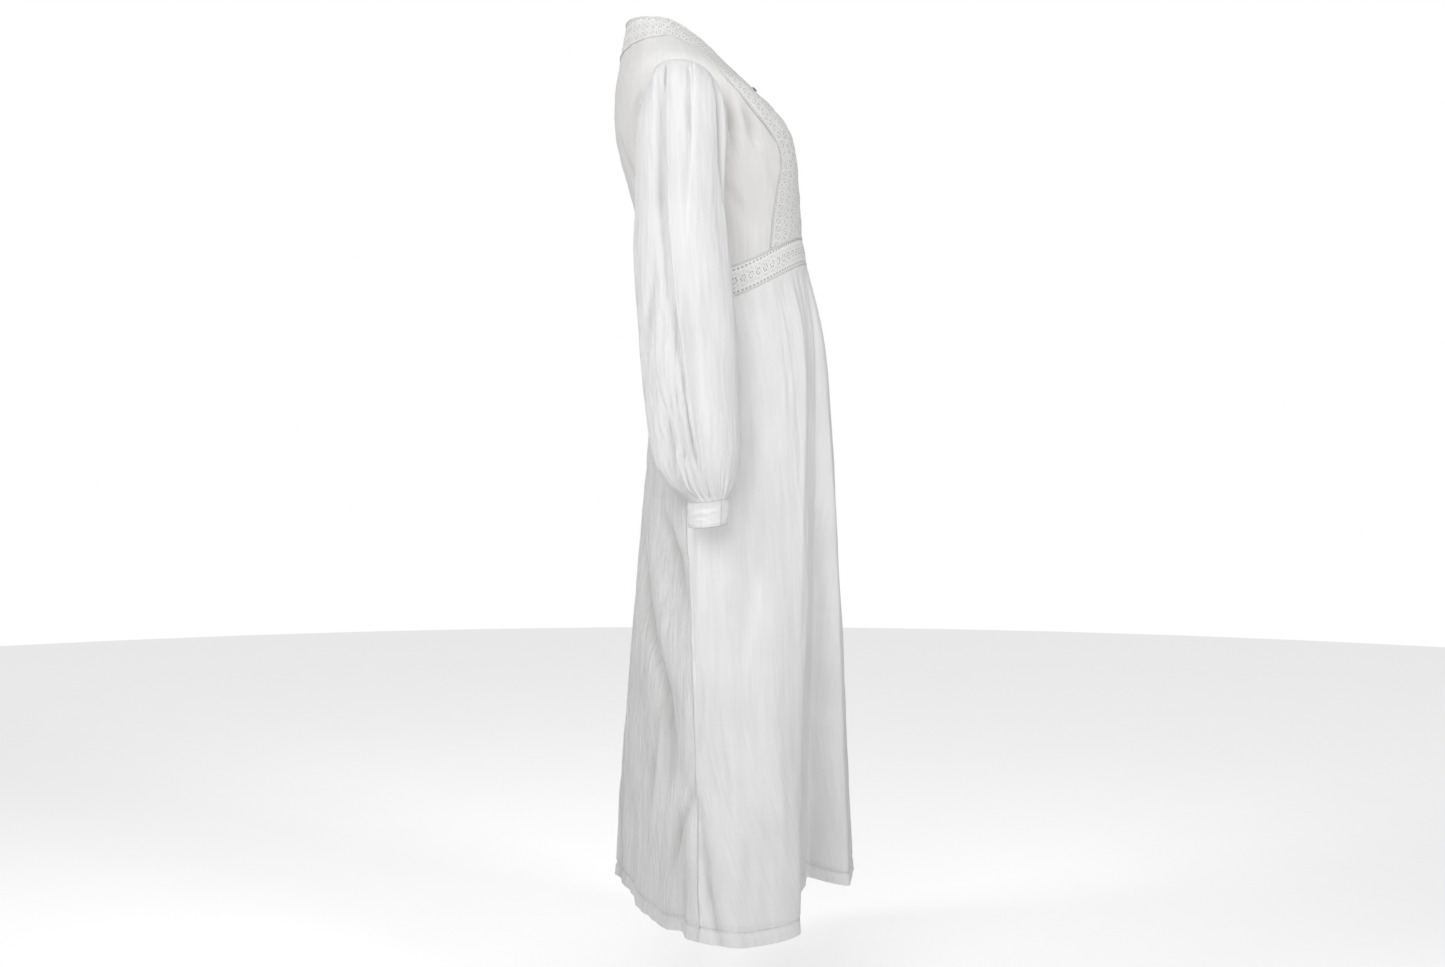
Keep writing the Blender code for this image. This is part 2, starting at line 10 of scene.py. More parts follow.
import bpy
import numpy as np
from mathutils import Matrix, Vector


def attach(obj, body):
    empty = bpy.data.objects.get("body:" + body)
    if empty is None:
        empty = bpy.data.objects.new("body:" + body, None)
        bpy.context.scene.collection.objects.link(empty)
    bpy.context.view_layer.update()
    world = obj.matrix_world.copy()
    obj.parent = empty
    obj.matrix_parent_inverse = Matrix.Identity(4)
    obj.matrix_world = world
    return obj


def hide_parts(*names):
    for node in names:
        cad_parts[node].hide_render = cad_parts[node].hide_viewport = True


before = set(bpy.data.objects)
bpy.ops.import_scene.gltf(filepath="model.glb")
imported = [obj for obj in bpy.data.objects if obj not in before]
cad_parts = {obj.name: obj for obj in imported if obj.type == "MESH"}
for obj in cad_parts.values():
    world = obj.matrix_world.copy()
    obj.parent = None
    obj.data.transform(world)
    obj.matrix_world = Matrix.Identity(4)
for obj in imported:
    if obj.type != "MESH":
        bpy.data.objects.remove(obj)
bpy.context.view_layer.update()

CLOTH_WALL = 0.0008
LACE_WALL = 0.0010
WELD_DISTANCE = 0.00002
OUTER_DENSITY = 0.06
CREST_STATION = 55.0
BODY_REACH = 0.15
ACROSS = np.array([-1.0, 1.0, 1.0])
# The photo shows no cut, so the flat area of a curved panel is its finished surface times a guess.
CURVED_CUT = 1.03
LACE_CUT = 1.02

# The rings and seams are the solids' own. Three folds at the skirt's right back, the rear and front
# grooves of the sleeve and the button's level are refitted to the photo, so they differ from the solids.
BodyRing = namedtuple("BodyRing", "level cf_y cf_z side_x side_y side_z cb_y cb_z front_power back_power")
BODY_RINGS = [
    BodyRing(0.0, -0.1645, -0.258, 0.150, -0.045, -0.318, 0.050, -0.325, 2.1, 2.1),
    BodyRing(1.0, -0.1610, -0.205, 0.165, -0.030, -0.215, 0.080, -0.205, 2.3, 2.3),
    BodyRing(2.0, -0.1560, -0.140, 0.176, 0.000, -0.135, 0.102, -0.120, 2.3, 2.4),
    BodyRing(3.0, -0.1460, -0.100, 0.190, 0.022, -0.048, 0.104, -0.060, 2.1, 2.2),
    BodyRing(4.0, -0.1220, -0.0655, 0.117, 0.030, 0.006, 0.097, 0.000, 1.95, 2.0),
    BodyRing(5.0, -0.0930, -0.039, 0.075, 0.038, 0.043, 0.089, 0.051, 1.85, 2.0),
]
LIFT_SOFTNESS = 0.3
SIDE_SEAM = 92.0
SHOULDER_SEAM = 88.0
NECK_LEVEL = 5.0
BAND_LEVEL = 4.0
# The armhole, from the shoulder tip (turn 0) down its front and under the arm, then up its back.
HolePoint = namedtuple("HolePoint", "turn angle level")
ARMHOLE = [
    HolePoint(0.00, 88.0, 3.03),
    HolePoint(0.06, 80.5, 3.06),
    HolePoint(0.12, 74.5, 2.99),
    HolePoint(0.18, 71.2, 2.79),
    HolePoint(0.25, 70.3, 2.45),
    HolePoint(0.32, 71.8, 2.06),
    HolePoint(0.38, 75.5, 1.61),
    HolePoint(0.44, 82.5, 1.18),
    HolePoint(0.50, 92.0, 1.00),
    HolePoint(0.57, 103.0, 1.08),
    HolePoint(0.65, 113.5, 1.38),
    HolePoint(0.73, 119.5, 1.84),
    HolePoint(0.80, 116.5, 2.25),
    HolePoint(0.87, 109.0, 2.58),
    HolePoint(0.94, 99.0, 2.91),
    HolePoint(1.00, 88.0, 3.03),
]

SeamPoint = namedtuple("SeamPoint", "along angle level")
BIB_SEAM = [
    SeamPoint(0.00, 55.0, 0.00),
    SeamPoint(0.12, 52.0, 0.50),
    SeamPoint(0.25, 46.0, 1.05),
    SeamPoint(0.37, 38.5, 1.60),
    SeamPoint(0.45, 39.0, 1.88),
    SeamPoint(0.56, 46.5, 2.22),
    SeamPoint(0.67, 56.0, 2.58),
    SeamPoint(0.78, 64.0, 2.95),
    SeamPoint(0.88, 70.5, 3.45),
    SeamPoint(0.95, 77.5, 3.88),
    SeamPoint(1.00, SHOULDER_SEAM, BAND_LEVEL),
]

SkirtRing = namedtuple("SkirtRing", "drop " + " ".join(BodyRing._fields[1:]) + " seam")
SKIRT_RINGS = [
    SkirtRing(0.00, -0.1710, -0.294, 0.150, -0.045, -0.358, 0.048, -0.365, 2.1, 2.1, 92.0),
    SkirtRing(0.10, -0.1930, -0.388, 0.166, -0.047, -0.430, 0.050, -0.440, 2.2, 2.0, 102.0),
    SkirtRing(0.28, -0.2080, -0.560, 0.196, -0.050, -0.585, 0.061, -0.590, 2.3, 1.9, 114.5),
    SkirtRing(0.52, -0.2205, -0.780, 0.252, -0.058, -0.790, 0.078, -0.790, 2.3, 1.8, 113.5),
    SkirtRing(0.76, -0.2275, -0.972, 0.302, -0.068, -0.985, 0.096, -0.985, 2.2, 1.75, 111.8),
    SkirtRing(1.00, -0.2350, -1.155, 0.346, -0.075, -1.183, 0.107, -1.178, 2.1, 1.75, 110.0),
]
LAST_ARC_START = 66.0
SkirtFold = namedtuple("SkirtFold", "name top foot front_width back_width depth flatness lift start full")
SKIRT_FOLDS = [
    SkirtFold("right_front_valley", -28.0, -43.0, 21.0, 21.0, 0.080, 2.0, 0.011, 0.02, 1.0),
    SkirtFold("left_front_valley", 30.0, 46.0, 21.0, 20.0, 0.070, 1.8, 0.008, 0.03, 1.0),
    SkirtFold("right_side_hollow", -80.0, -82.0, 12.0, 12.0, 0.006, 1.0, 0.0, 0.10, 1.0),
    SkirtFold("left_side_hollow", 84.0, 82.0, 12.0, 12.0, 0.008, 1.0, 0.0, 0.10, 1.0),
    SkirtFold("right_hem_notch", -119.0, -120.0, 6.0, 7.0, 0.005, 1.0, 0.004, 0.80, 1.0),
    SkirtFold("right_back_fold", -132.0, -134.0, 14.0, 14.0, 0.010, 1.0, 0.0, 0.55, 1.0),
    SkirtFold("right_back_inner", -156.0, -157.0, 26.0, 26.0, 0.021, 1.0, 0.0, 0.55, 1.0),
    SkirtFold("left_hem_notch", 118.0, 122.0, 9.0, 9.0, 0.015, 1.0, 0.004, 0.30, 1.0),
    SkirtFold("left_back_fold", 138.0, 142.0, 12.0, 12.0, 0.024, 1.0, 0.0, 0.14, 0.9),
    SkirtFold("left_back_inner", 164.0, 166.0, 9.0, 10.0, 0.013, 1.0, 0.0, 0.10, 1.0),
]
FOLD_WIDTH_AT_TOP = 0.6
SKIRT_LENGTH = 0.86
HEM_TURNING = 0.021
HEM_GROOVE = 0.0195
HEM_STITCHING = 0.0190

SleeveRing = namedtuple("SleeveRing", "share z centre_x centre_y half_x half_y")
SLEEVE_RINGS = [
    SleeveRing(0.30, -0.250, 0.236, 0.006, 0.050, 0.0595),
    SleeveRing(0.40, -0.306, 0.241, 0.004, 0.052, 0.0632),
    SleeveRing(0.56, -0.407, 0.250, -0.003, 0.053, 0.0641),
    SleeveRing(0.72, -0.503, 0.258, -0.009, 0.052, 0.0615),
    SleeveRing(0.82, -0.556, 0.264, -0.015, 0.051, 0.0584),
    SleeveRing(0.90, -0.590, 0.268, -0.019, 0.047, 0.0520),
    SleeveRing(0.96, -0.614, 0.270, -0.025, 0.040, 0.0410),
    SleeveRing(1.00, -0.6290, 0.272, -0.0316, 0.0335, 0.0268),
]
CAP_END = SLEEVE_RINGS[0].share
# A sleeve is cut as a body of 0.38 by 0.44 with a cap 0.19 high.
CAP_START_PULL = 0.35
CAP_END_PULL = 0.40
CAP_SPREAD = 0.25
CAP_FALL = 0.35
SleeveFold = namedtuple("SleeveFold", "name top foot width depth start end")
SLEEVE_FOLDS = [
    SleeveFold("rear_groove", -0.085, -0.02, 0.055, 0.003, 0.06, 0.98),
    SleeveFold("front_groove", 0.150, 0.19, 0.040, 0.002, 0.05, 0.55),
    SleeveFold("back_groove", 0.78, 0.82, 0.050, 0.006, 0.20, 0.92),
    SleeveFold("inner_groove", 0.48, 0.45, 0.070, 0.008, 0.32, 0.95),
]
CUFF_HEIGHT = 0.032
CUFF_NARROWING = 0.94
CUFF_DROOP = 0.004
CUFF_SLOPE = 0.10
CUFF_OVERLAP = 0.09
CUFF_LIFT = 0.0023
CUFF_OPENING = 0.01
BUTTON_RADIUS = 0.0042
BUTTON_THICKNESS = 0.0030
BUTTON_LEVEL = 4.94
BUTTON_SIDES = 32
SEAM_GAP = 0.0003

# A lace edge: where it lies across, which way the lace is from it, its row of holes and its inner cord.
LaceEdge = namedtuple("LaceEdge", "at side holes hole_size pitch inner")
BIB_LACE_EDGES = [
    LaceEdge(0.0, 1.0, 0.0026, 0.0022, 0.0048, 0.0046),
]
BAND_LACE_EDGES = [
    LaceEdge(0.0, 1.0, 0.0036, 0.0030, 0.0062, 0.0064),
    LaceEdge(0.038, -1.0, 0.0036, 0.0030, 0.0062, 0.0064),
]
FLOOR_Z = -1.36
FLOOR_RADIUS = 6.0
FLOOR_SIDES = 64
FLOOR_GLOW = 0.10
FLOOR_SEEN_GLOW = 0.50
FILL = 0.36
# The crease depth at which the painted crease shade is darkest.
PAINTED_SHADE_DEPTH = 0.013
CAMERA_PLACE = (-2.3, -0.05, -0.61)
PHOTO_WIDTH = 1445.0
PHOTO_FOCAL = 1587.0
SENSOR_WIDTH = 36.0
Lamp = namedtuple("Lamp", "name place aim size spread power")
LAMPS = [
    Lamp("front_high", (-2.2, -1.6, 2.2), (0.0, -0.05, -0.40), 1.4, 90.0, 1.3),
    Lamp("back_high", (-2.6, 0.9, 1.1), (0.0, -0.05, -0.40), 1.0, 90.0, 2.4),
    Lamp("front_low", (-2.2, -2.2, 0.9), (0.0, -0.05, -0.40), 1.0, 60.0, 4.3),
    Lamp("side_low", (-3.2, 0.4, 0.2), (0.0, -0.05, -0.32), 1.0, 60.0, 3.4),
    Lamp("rear", (-1.2, 2.5, 1.1), (0.0, -0.05, -0.50), 1.0, 90.0, 8.2),
]

# A crease runs along a path of (along, across, depth) points. Depth is inward, so a ridge's is negative.
# Width is in the same units as across. A power of 2 is a soft trough, and a lower one is sharper.
Crease = namedtuple("Crease", "name width power path")
SKIRT_CREASES = [
    Crease("back_diagonal", 4.4, 1.7, [
        (0.36, -165, 0), (0.43, -157, 0.008), (0.495, -148, 0.012), (0.56, -141, 0.013),
        (0.617, -131.5, 0.013), (0.68, -128, 0.01), (0.75, -127, 0.008), (0.83, -127, 0)]),
    Crease("seam_hollow", 3.8, 1.9, [
        (0.34, -140, 0), (0.375, -133, 0.006), (0.413, -125.5, 0.01), (0.455, -121, 0.009),
        (0.49, -118.5, 0.005), (0.53, -117, 0)]),
    Crease("back_swell", 6, 2, [
        (0.36, -152, 0), (0.42, -142, -0.004), (0.48, -134, -0.007), (0.53, -130, -0.007),
        (0.58, -126, -0.005), (0.64, -121, -0.003), (0.7, -119, 0)]),
    Crease("lower_back_trough", 3.5, 1.7, [
        (0.66, -134, 0), (0.72, -137, 0.006), (0.79, -139, 0.008), (0.85, -141, 0.004), (0.90, -142, 0)]),
    Crease("lower_back_ridge", 3.0, 1.7, [
        (0.62, -130, 0), (0.69, -131, -0.003), (0.77, -132, -0.003), (0.86, -134, 0)]),
    Crease("hem_triangle_back_side", 2.6, 1.6, [
        (0.76, -113.6, 0), (0.8, -116, 0.007), (0.84, -120, 0.009), (0.88, -123, 0.009), (0.94, -126, 0)]),
    Crease("hem_triangle_front_side", 2.2, 1.5, [
        (0.78, -111.5, 0), (0.82, -110.4, 0.006), (0.87, -108.6, 0.007), (0.936, -105.6, 0.007),
        (1, -102, 0.005)]),
    Crease("hem_triangle_ridge", 3.4, 2, [
        (0.79, -113.2, 0), (0.84, -113.6, -0.004), (0.89, -113.6, -0.005), (0.95, -113.8, -0.005),
        (1, -114, -0.004)]),
    Crease("hem_back_diagonal", 3, 1.8, [
        (0.84, -128, 0), (0.88, -130, 0.003), (0.93, -132.5, 0.003), (0.985, -135, 0)]),
    Crease("seam_shadow", 1.2, 1.6, [
        (0.5, -118, 0), (0.56, -117, 0.0008), (0.64, -116.5, 0.0008), (0.72, -116, 0)]),
    Crease("seam_front_ridge", 1.6, 2.0, [
        (0.36, -107.5, 0), (0.42, -109.3, -0.0015), (0.55, -109.2, -0.0015), (0.62, -108.5, 0)]),
    Crease("front_panel_long", 5.0, 2.0, [
        (0.10, -73, 0), (0.25, -79, 0.003), (0.45, -86, 0.003), (0.60, -90, 0)]),
    Crease("front_panel_low", 4.0, 1.9, [
        (0.55, -97, 0), (0.68, -98, 0.0025), (0.80, -97, 0.003), (0.90, -95, 0)]),
    Crease("left_back_diagonal", 5.0, 1.7, [
        (0.30, 168, 0), (0.40, 155, 0.005), (0.50, 143, 0.008), (0.60, 131, 0.008),
        (0.72, 127, 0.006), (0.84, 128, 0)]),
    Crease("left_back_swell", 6.0, 2.0, [
        (0.36, 150, 0), (0.46, 136, -0.005), (0.55, 128, -0.005), (0.64, 125, 0)]),
    Crease("left_hem_triangle", 3.0, 1.6, [
        (0.74, 114, 0), (0.82, 115, 0.004), (0.92, 116.5, 0.007), (1.0, 117, 0.008)]),
    Crease("left_hem_front", 3.0, 1.6, [
        (0.80, 108, 0), (0.88, 105, 0.004), (0.95, 101.5, 0.006), (1.0, 99, 0.007)]),
    Crease("left_front_long", 5.0, 2.0, [
        (0.08, 76, 0), (0.24, 82, 0.003), (0.48, 88, 0.004), (0.66, 92, 0)]),
    Crease("centre_front_soft", 6.0, 2.0, [
        (0.30, -4, 0), (0.50, -2, 0.003), (0.80, 3, 0.004), (1.0, 5, 0.005)]),
    Crease("centre_back_soft", 5.0, 2.0, [
        (0.12, 178, 0), (0.40, 180, 0.004), (0.75, 183, 0.006), (1.0, 184, 0.007)]),
    Crease("hem_wedge_back", 2.2, 1.6, [
        (0.88, -116, 0), (0.92, -118, 0.006), (0.96, -118.5, 0.007), (1, -118.5, 0.004)]),
    Crease("crest_edge", 2.6, 1.6, [
        (0.01, -40, 0), (0.05, -41.5, -0.003), (0.1, -43, -0.0045), (0.2, -46, -0.0045),
        (0.42, -55.5, -0.003), (0.6, -60, 0)]),
    Crease("lap_valley", 4, 1.8, [
        (0.3, -78, 0), (0.36, -77, 0.002), (0.46, -80, 0.0035), (0.54, -84, 0.002), (0.6, -88, 0)]),
    Crease("crest_low_edge", 5.5, 2.2, [
        (0.40, -46, 0), (0.50, -48.5, 0.004), (0.70, -52.5, 0.008), (0.90, -55.5, 0.009),
        (1.0, -56.5, 0.009)]),
]
SLEEVE_CREASES = [
    Crease("rear_trough", 0.017, 2.8, [
        (0.03, -0.04, 0), (0.09, -0.036, 0.003), (0.136, -0.044, 0.0055), (0.173, -0.05, 0.006),
        (0.24, -0.058, 0.006), (0.302, -0.062, 0.006), (0.349, -0.058, 0.005), (0.438, -0.048, 0.004),
        (0.516, -0.046, 0.003), (0.578, -0.038, 0.003), (0.639, -0.033, 0.003), (0.727, -0.034, 0.003),
        (0.8, -0.036, 0)]),
    Crease("trough_edge", 0.006, 1.4, [
        (0.05, -0.056, 0), (0.086, -0.055, 0.002), (0.136, -0.062, 0.002), (0.24, -0.078, 0.001),
        (0.302, -0.082, 0.001), (0.40, -0.085, 0)]),
    Crease("bright_ridge", 0.009, 1.5, [
        (0.06, -0.010, 0), (0.094, -0.014, -0.002), (0.142, -0.018, -0.003), (0.177, -0.024, -0.003),
        (0.243, -0.031, -0.003), (0.303, -0.033, -0.003), (0.349, -0.030, -0.0025), (0.438, -0.025, -0.003),
        (0.518, -0.022, -0.0035), (0.558, -0.017, -0.004), (0.599, -0.011, -0.004), (0.641, -0.008, -0.004),
        (0.682, -0.003, -0.003), (0.727, 0.0, -0.002), (0.78, 0.003, 0)]),
    Crease("ridge_back_line", 0.006, 1.3, [
        (0.46, -0.034, 0), (0.52, -0.033, 0.003), (0.6, -0.024, 0.004), (0.68, -0.018, 0.0045),
        (0.727, -0.016, 0.004), (0.79, -0.012, 0.004), (0.85, -0.006, 0.003), (0.92, 0, 0)]),
    Crease("second_ridge", 0.007, 1.4, [
        (0.68, -0.03, 0), (0.727, -0.031, -0.004), (0.78, -0.027, -0.006), (0.823, -0.024, -0.006),
        (0.87, -0.02, -0.004), (0.95, -0.012, 0)]),
    Crease("third_ridge", 0.006, 1.4, [
        (0.72, -0.003, 0), (0.79, 0.004, -0.005), (0.823, 0.007, -0.006), (0.871, 0.012, -0.005),
        (0.92, 0.018, 0)]),
    Crease("ridge_front_valley", 0.016, 1.8, [
        (0.44, 0.002, 0), (0.52, 0.010, 0.003), (0.60, 0.016, 0.004), (0.68, 0.021, 0.004),
        (0.76, 0.026, 0.003), (0.86, 0.032, 0)]),
    Crease("outer_pleat", 0.0065, 1.25, [
        (0.02, 0.054, 0), (0.05, 0.050, 0.0045), (0.097, 0.047, 0.0055), (0.143, 0.044, 0.006),
        (0.213, 0.040, 0.005), (0.273, 0.034, 0.003), (0.36, 0.020, 0)]),
    Crease("outer_pleat_twin", 0.005, 1.3, [
        (0.01, 0.068, 0), (0.044, 0.065, 0.003), (0.094, 0.060, 0.0025), (0.142, 0.058, 0)]),
    Crease("head_pleat_dark", 0.005, 1.3, [
        (0.01, -0.019, 0), (0.04, -0.019, 0.005), (0.09, -0.022, 0.005), (0.14, -0.026, 0.002),
        (0.18, -0.03, 0)]),
    Crease("head_pleat_front", 0.005, 1.3, [
        (0.015, -0.004, 0), (0.05, -0.005, 0.003), (0.10, -0.006, 0.0025), (0.15, -0.008, 0)]),
    Crease("front_groove", 0.022, 3, [
        (0.02, 0.165, 0), (0.06, 0.171, 0.005), (0.122, 0.181, 0.01), (0.162, 0.187, 0.011),
        (0.199, 0.191, 0.01), (0.232, 0.198, 0.008), (0.263, 0.209, 0.005), (0.3, 0.225, 0)]),
    Crease("low_rear_hollow", 0.018, 1.7, [
        (0.73, -0.080, 0), (0.78, -0.082, 0.005), (0.82, -0.086, 0.007), (0.87, -0.090, 0.006),
        (0.92, -0.09, 0)]),
    Crease("low_rear_bulge", 0.020, 1.9, [
        (0.72, -0.135, 0), (0.80, -0.140, -0.004), (0.88, -0.150, -0.005), (0.94, -0.14, -0.003),
        (0.98, -0.13, 0)]),
    Crease("low_rear_ridge", 0.007, 1.4, [
        (0.80, -0.075, 0), (0.85, -0.073, -0.003), (0.90, -0.068, -0.004), (0.95, -0.066, -0.003),
        (0.985, -0.065, 0)]),
    Crease("upper_back_trough", 0.018, 1.8, [
        (0.38, -0.088, 0), (0.44, -0.092, 0.003), (0.515, -0.112, 0.005), (0.595, -0.145, 0.005),
        (0.632, -0.170, 0.004), (0.70, -0.20, 0)]),
    Crease("mid_back_swell", 0.022, 2.0, [
        (0.50, -0.09, 0), (0.58, -0.085, -0.003), (0.68, -0.090, -0.003), (0.76, -0.11, 0)]),
    Crease("back_seam_hollow", 0.02, 1.8, [
        (0.08, -0.21, 0), (0.20, -0.23, 0.004), (0.45, -0.25, 0.004), (0.75, -0.24, 0.003),
        (0.92, -0.22, 0)]),
    Crease("inner_hollow", 0.03, 2.0, [
        (0.15, 0.46, 0), (0.35, 0.44, 0.004), (0.60, 0.42, 0.004), (0.85, 0.43, 0)]),
    Crease("head_pleat_rear", 0.005, 1.3, [
        (0.03, -0.047, 0), (0.06, -0.049, 0.003), (0.1, -0.052, 0.0025), (0.15, -0.056, 0)]),
    Crease("ridge_front_line", 0.006, 1.3, [
        (0.55, -0.004, 0), (0.62, 0.003, 0.002), (0.7, 0.009, 0.003), (0.79, 0.014, 0.003),
        (0.86, 0.02, 0.002), (0.92, 0.026, 0)]),
]
# These are given for the wearer's right; the wearer's left has the same, a little softer.
BODY_CREASES = [
    Crease("armhole_trough", 2.8, 1.6, [
        (2.95, 65, 0), (2.6, 66.5, 0.006), (2.2, 69.5, 0.008), (1.85, 71.5, 0.005), (1.45, 74, 0)]),
    Crease("chest_trough", 2.8, 1.5, [
        (2.75, 62, 0), (2.5, 60, 0.003), (2.3, 58.5, 0.007), (2.05, 57, 0.008), (1.9, 56.5, 0.005),
        (1.7, 56, 0)]),
    Crease("chest_swell", 3.6, 2, [
        (2.8, 65, 0), (2.4, 64, -0.004), (2, 64, -0.004), (1.5, 66, 0)]),
    Crease("side_drag", 4.0, 1.9, [
        (1.2, 83, 0), (0.9, 78, 0.002), (0.55, 70, 0.002), (0.3, 64, 0)]),
    Crease("back_armhole_ridge", 2.4, 1.7, [
        (2.8, 114.5, 0), (2.61, 119.5, -0.003), (2.39, 125.5, -0.006), (2.1, 131.5, -0.006),
        (1.82, 137.5, -0.004), (1.5, 143, 0)]),
    Crease("back_armhole_trough", 2.8, 1.7, [
        (2.6, 114, 0), (2.4, 118, 0.003), (2.14, 122, 0.006), (1.9, 126.5, 0.006), (1.6, 133, 0.004),
        (1.2, 138, 0)]),
    Crease("back_long_fold", 5.0, 2.0, [
        (2.0, 158, 0), (1.4, 154, 0.003), (0.7, 150, 0.004), (0.0, 148, 0.002)]),
    Crease("shoulder_drag", 2.6, 1.5, [
        (3.05, 68, 0), (2.9, 65.5, -0.002), (2.67, 61, -0.0035), (2.45, 59.8, -0.0035),
        (2.2, 60.5, -0.002), (2, 61, 0)]),
    Crease("neck_front_slope", 20, 2.4, [
        (2.4, 27, 0), (3, 27, 0.004), (4, 27, 0.007), (4.6, 27, 0.009), (5.1, 27, 0.0095)]),
]


def ease(keys, values, x):
    """A smooth curve through the values at the keys, held level beyond them."""
    keys = np.asarray(keys, float)
    values = np.asarray(values, float)
    x = np.clip(np.asarray(x, float), keys[0], keys[-1])
    slopes = np.gradient(values, keys)
    i = np.clip(np.searchsorted(keys, x, side="right") - 1, 0, len(keys) - 2)
    step = keys[i + 1] - keys[i]
    f = (x - keys[i]) / step
    start = values[i] * (2 * f**3 - 3 * f**2 + 1) + slopes[i] * step * (f**3 - 2 * f**2 + f)
    end = values[i + 1] * (3 * f**2 - 2 * f**3) + slopes[i + 1] * step * (f**3 - f**2)
    return start + end


def column(rows, name, x):
    """One column of a table, read smoothly against its first number."""
    return ease([getattr(row, rows[0]._fields[0]) for row in rows], [getattr(row, name) for row in rows], x)


def smooth_step(x):
    x = np.clip(x, 0, 1)
    return x * x * (3 - 2 * x)


def bump(x):
    return np.where(np.abs(x) < 1, 0.5 + 0.5 * np.cos(np.pi * np.clip(x, -1, 1)), 0.0)


def nearest_turn(offset, period):
    """The shorter way round, from minus half a period to half a period."""
    return (offset + period / 2) % period - period / 2


def signed(angle):
    return nearest_turn(np.asarray(angle), 360.0)


def aligned(across, along):
    """Both as arrays of numbers of one shape."""
    return np.broadcast_arrays(np.asarray(across, float), np.asarray(along, float))


def unit(vectors):
    return vectors / np.maximum(np.linalg.norm(vectors, axis=-1, keepdims=True), 1e-12)


def lattice(across, along, seed):
    """A repeatable number from -1 to 1 for each whole-numbered place."""
    mixed = (across * 73856093) ^ (along * 19349663) ^ (seed * 83492791)
    mixed = (mixed ^ (mixed >> 13)) * 1274126177
    mixed = mixed ^ (mixed >> 16)
    return (mixed & 0xFFFFF) / 0x7FFFF - 1.0


def noise(across, along, seed, period=0):
    """Smooth noise from about -1 to 1. With a period, it repeats after that many steps across."""
    across, along = aligned(across, along)
    left = np.floor(across).astype(np.int64)
    low = np.floor(along).astype(np.int64)
    fx = across - left
    fy = along - low
    total = np.zeros(across.shape)
    for dx in (0, 1):
        for dy in (0, 1):
            place = (left + dx) % period if period else left + dx
            turn = lattice(place, low + dy, seed) * np.pi
            weight = smooth_step(1 - np.abs(fx - dx)) * smooth_step(1 - np.abs(fy - dy))
            total += weight * (np.cos(turn) * (fx - dx) + np.sin(turn) * (fy - dy))
    return total * 1.6


def wrinkles(across, along, seed, period):
    """Creased noise, mostly flat with narrow valleys."""
    field = noise(across, along, seed, period)
    return np.exp(-((field / 0.16) ** 2)) - 0.35


def crease_depth(creases, along, across, period):
    across, along = aligned(across, along)
    depth = np.zeros(across.shape)
    for crease in creases:
        path = sorted(crease.path)
        keys = [p[0] for p in path]
        line = ease(keys, [p[1] for p in path], along)
        strength = ease(keys, [p[2] for p in path], along)
        off = nearest_turn(across - line, period)
        within = (along >= keys[0]) & (along <= keys[-1])
        depth += np.where(within, strength, 0) * np.exp(-np.abs(off / crease.width) ** crease.power)
    return depth


def ring_point(rows, angle, level):
    """Points round the body: a rounded half in front and one behind, each lifted towards its end."""
    turn = np.radians(np.abs(angle))
    sideways = np.abs(np.sin(turn))
    endways = np.abs(np.cos(turn))
    front = np.cos(turn) >= 0
    power = np.where(front, column(rows, "front_power", level), column(rows, "back_power", level))
    end_y = np.where(front, column(rows, "cf_y", level), column(rows, "cb_y", level))
    end_z = np.where(front, column(rows, "cf_z", level), column(rows, "cb_z", level))
    side_y = column(rows, "side_y", level)
    side_z = column(rows, "side_z", level)
    full_lift = math.hypot(1, LIFT_SOFTNESS) - LIFT_SOFTNESS
    lift = (np.hypot(endways, LIFT_SOFTNESS) - LIFT_SOFTNESS) / full_lift
    x = np.sign(angle) * column(rows, "side_x", level) * sideways ** (2 / power)
    y = side_y + (end_y - side_y) * endways ** (2 / power)
    z = side_z + (end_z - side_z) * lift
    return np.stack([x, y, z], axis=-1)


def slope_normals(surface, across, along, across_step, along_step):
    """Which way a surface faces, where across x along points out."""
    turned = surface(across + across_step, along) - surface(across - across_step, along)
    raised = surface(across, along + along_step) - surface(across, along - along_step)
    return unit(np.cross(turned, raised))


def plain_body(angle, level):
    return ring_point(BODY_RINGS, signed(angle), level)


def body_normals(angle, level):
    return slope_normals(plain_body, angle, level, 0.5, 0.02)


def body_creases(angle, level):
    """The bodice's creases and faint crinkle, fading out at the waistband and round the armholes."""
    angle, level = aligned(angle, level)
    off = signed(angle)
    depth = crease_depth(BODY_CREASES, level, np.abs(off), 360) * np.where(off < 0, 1.0, 0.75)
    depth = depth + 0.0007 * noise(off / 360 * 40, level * 3.0, 11, 40)
    depth += 0.0004 * noise(off / 360 * 90, level * 5.0, 12, 90)
    hole_angle, hole_level = armhole(np.arange(96) / 96)
    apart = np.hypot((np.abs(off)[..., None] - hole_angle) / 20, level[..., None] - hole_level)
    return depth * smooth_step(level / 0.12) * smooth_step(apart.min(axis=-1) / 0.07)


def body_point(angle, level):
    return plain_body(angle, level) - body_normals(angle, level) * body_creases(angle, level)[..., None]


def armhole(turn):
    """Angle and level round the armhole: 0 at the shoulder tip, 0.25 in front and 0.5 underneath."""
    turn = np.asarray(turn, float) % 1.0
    return column(ARMHOLE, "angle", turn), column(ARMHOLE, "level", turn)


def outer_edge(last_turn, rows):
    """Angles and levels up the side seam and then half way round the armhole, ending at last_turn."""
    seam_rows = rows // 4
    hole_angles, hole_levels = armhole(np.linspace(0.5, last_turn, rows - seam_rows + 1))
    seam_levels = np.arange(seam_rows) / seam_rows
    angles = np.concatenate([np.full(seam_rows, SIDE_SEAM), hole_angles])
    return angles, np.concatenate([seam_levels, hole_levels])


def bib_edge(rows):
    share = np.linspace(0, 1, rows + 1)
    return column(BIB_SEAM, "angle", share), column(BIB_SEAM, "level", share)


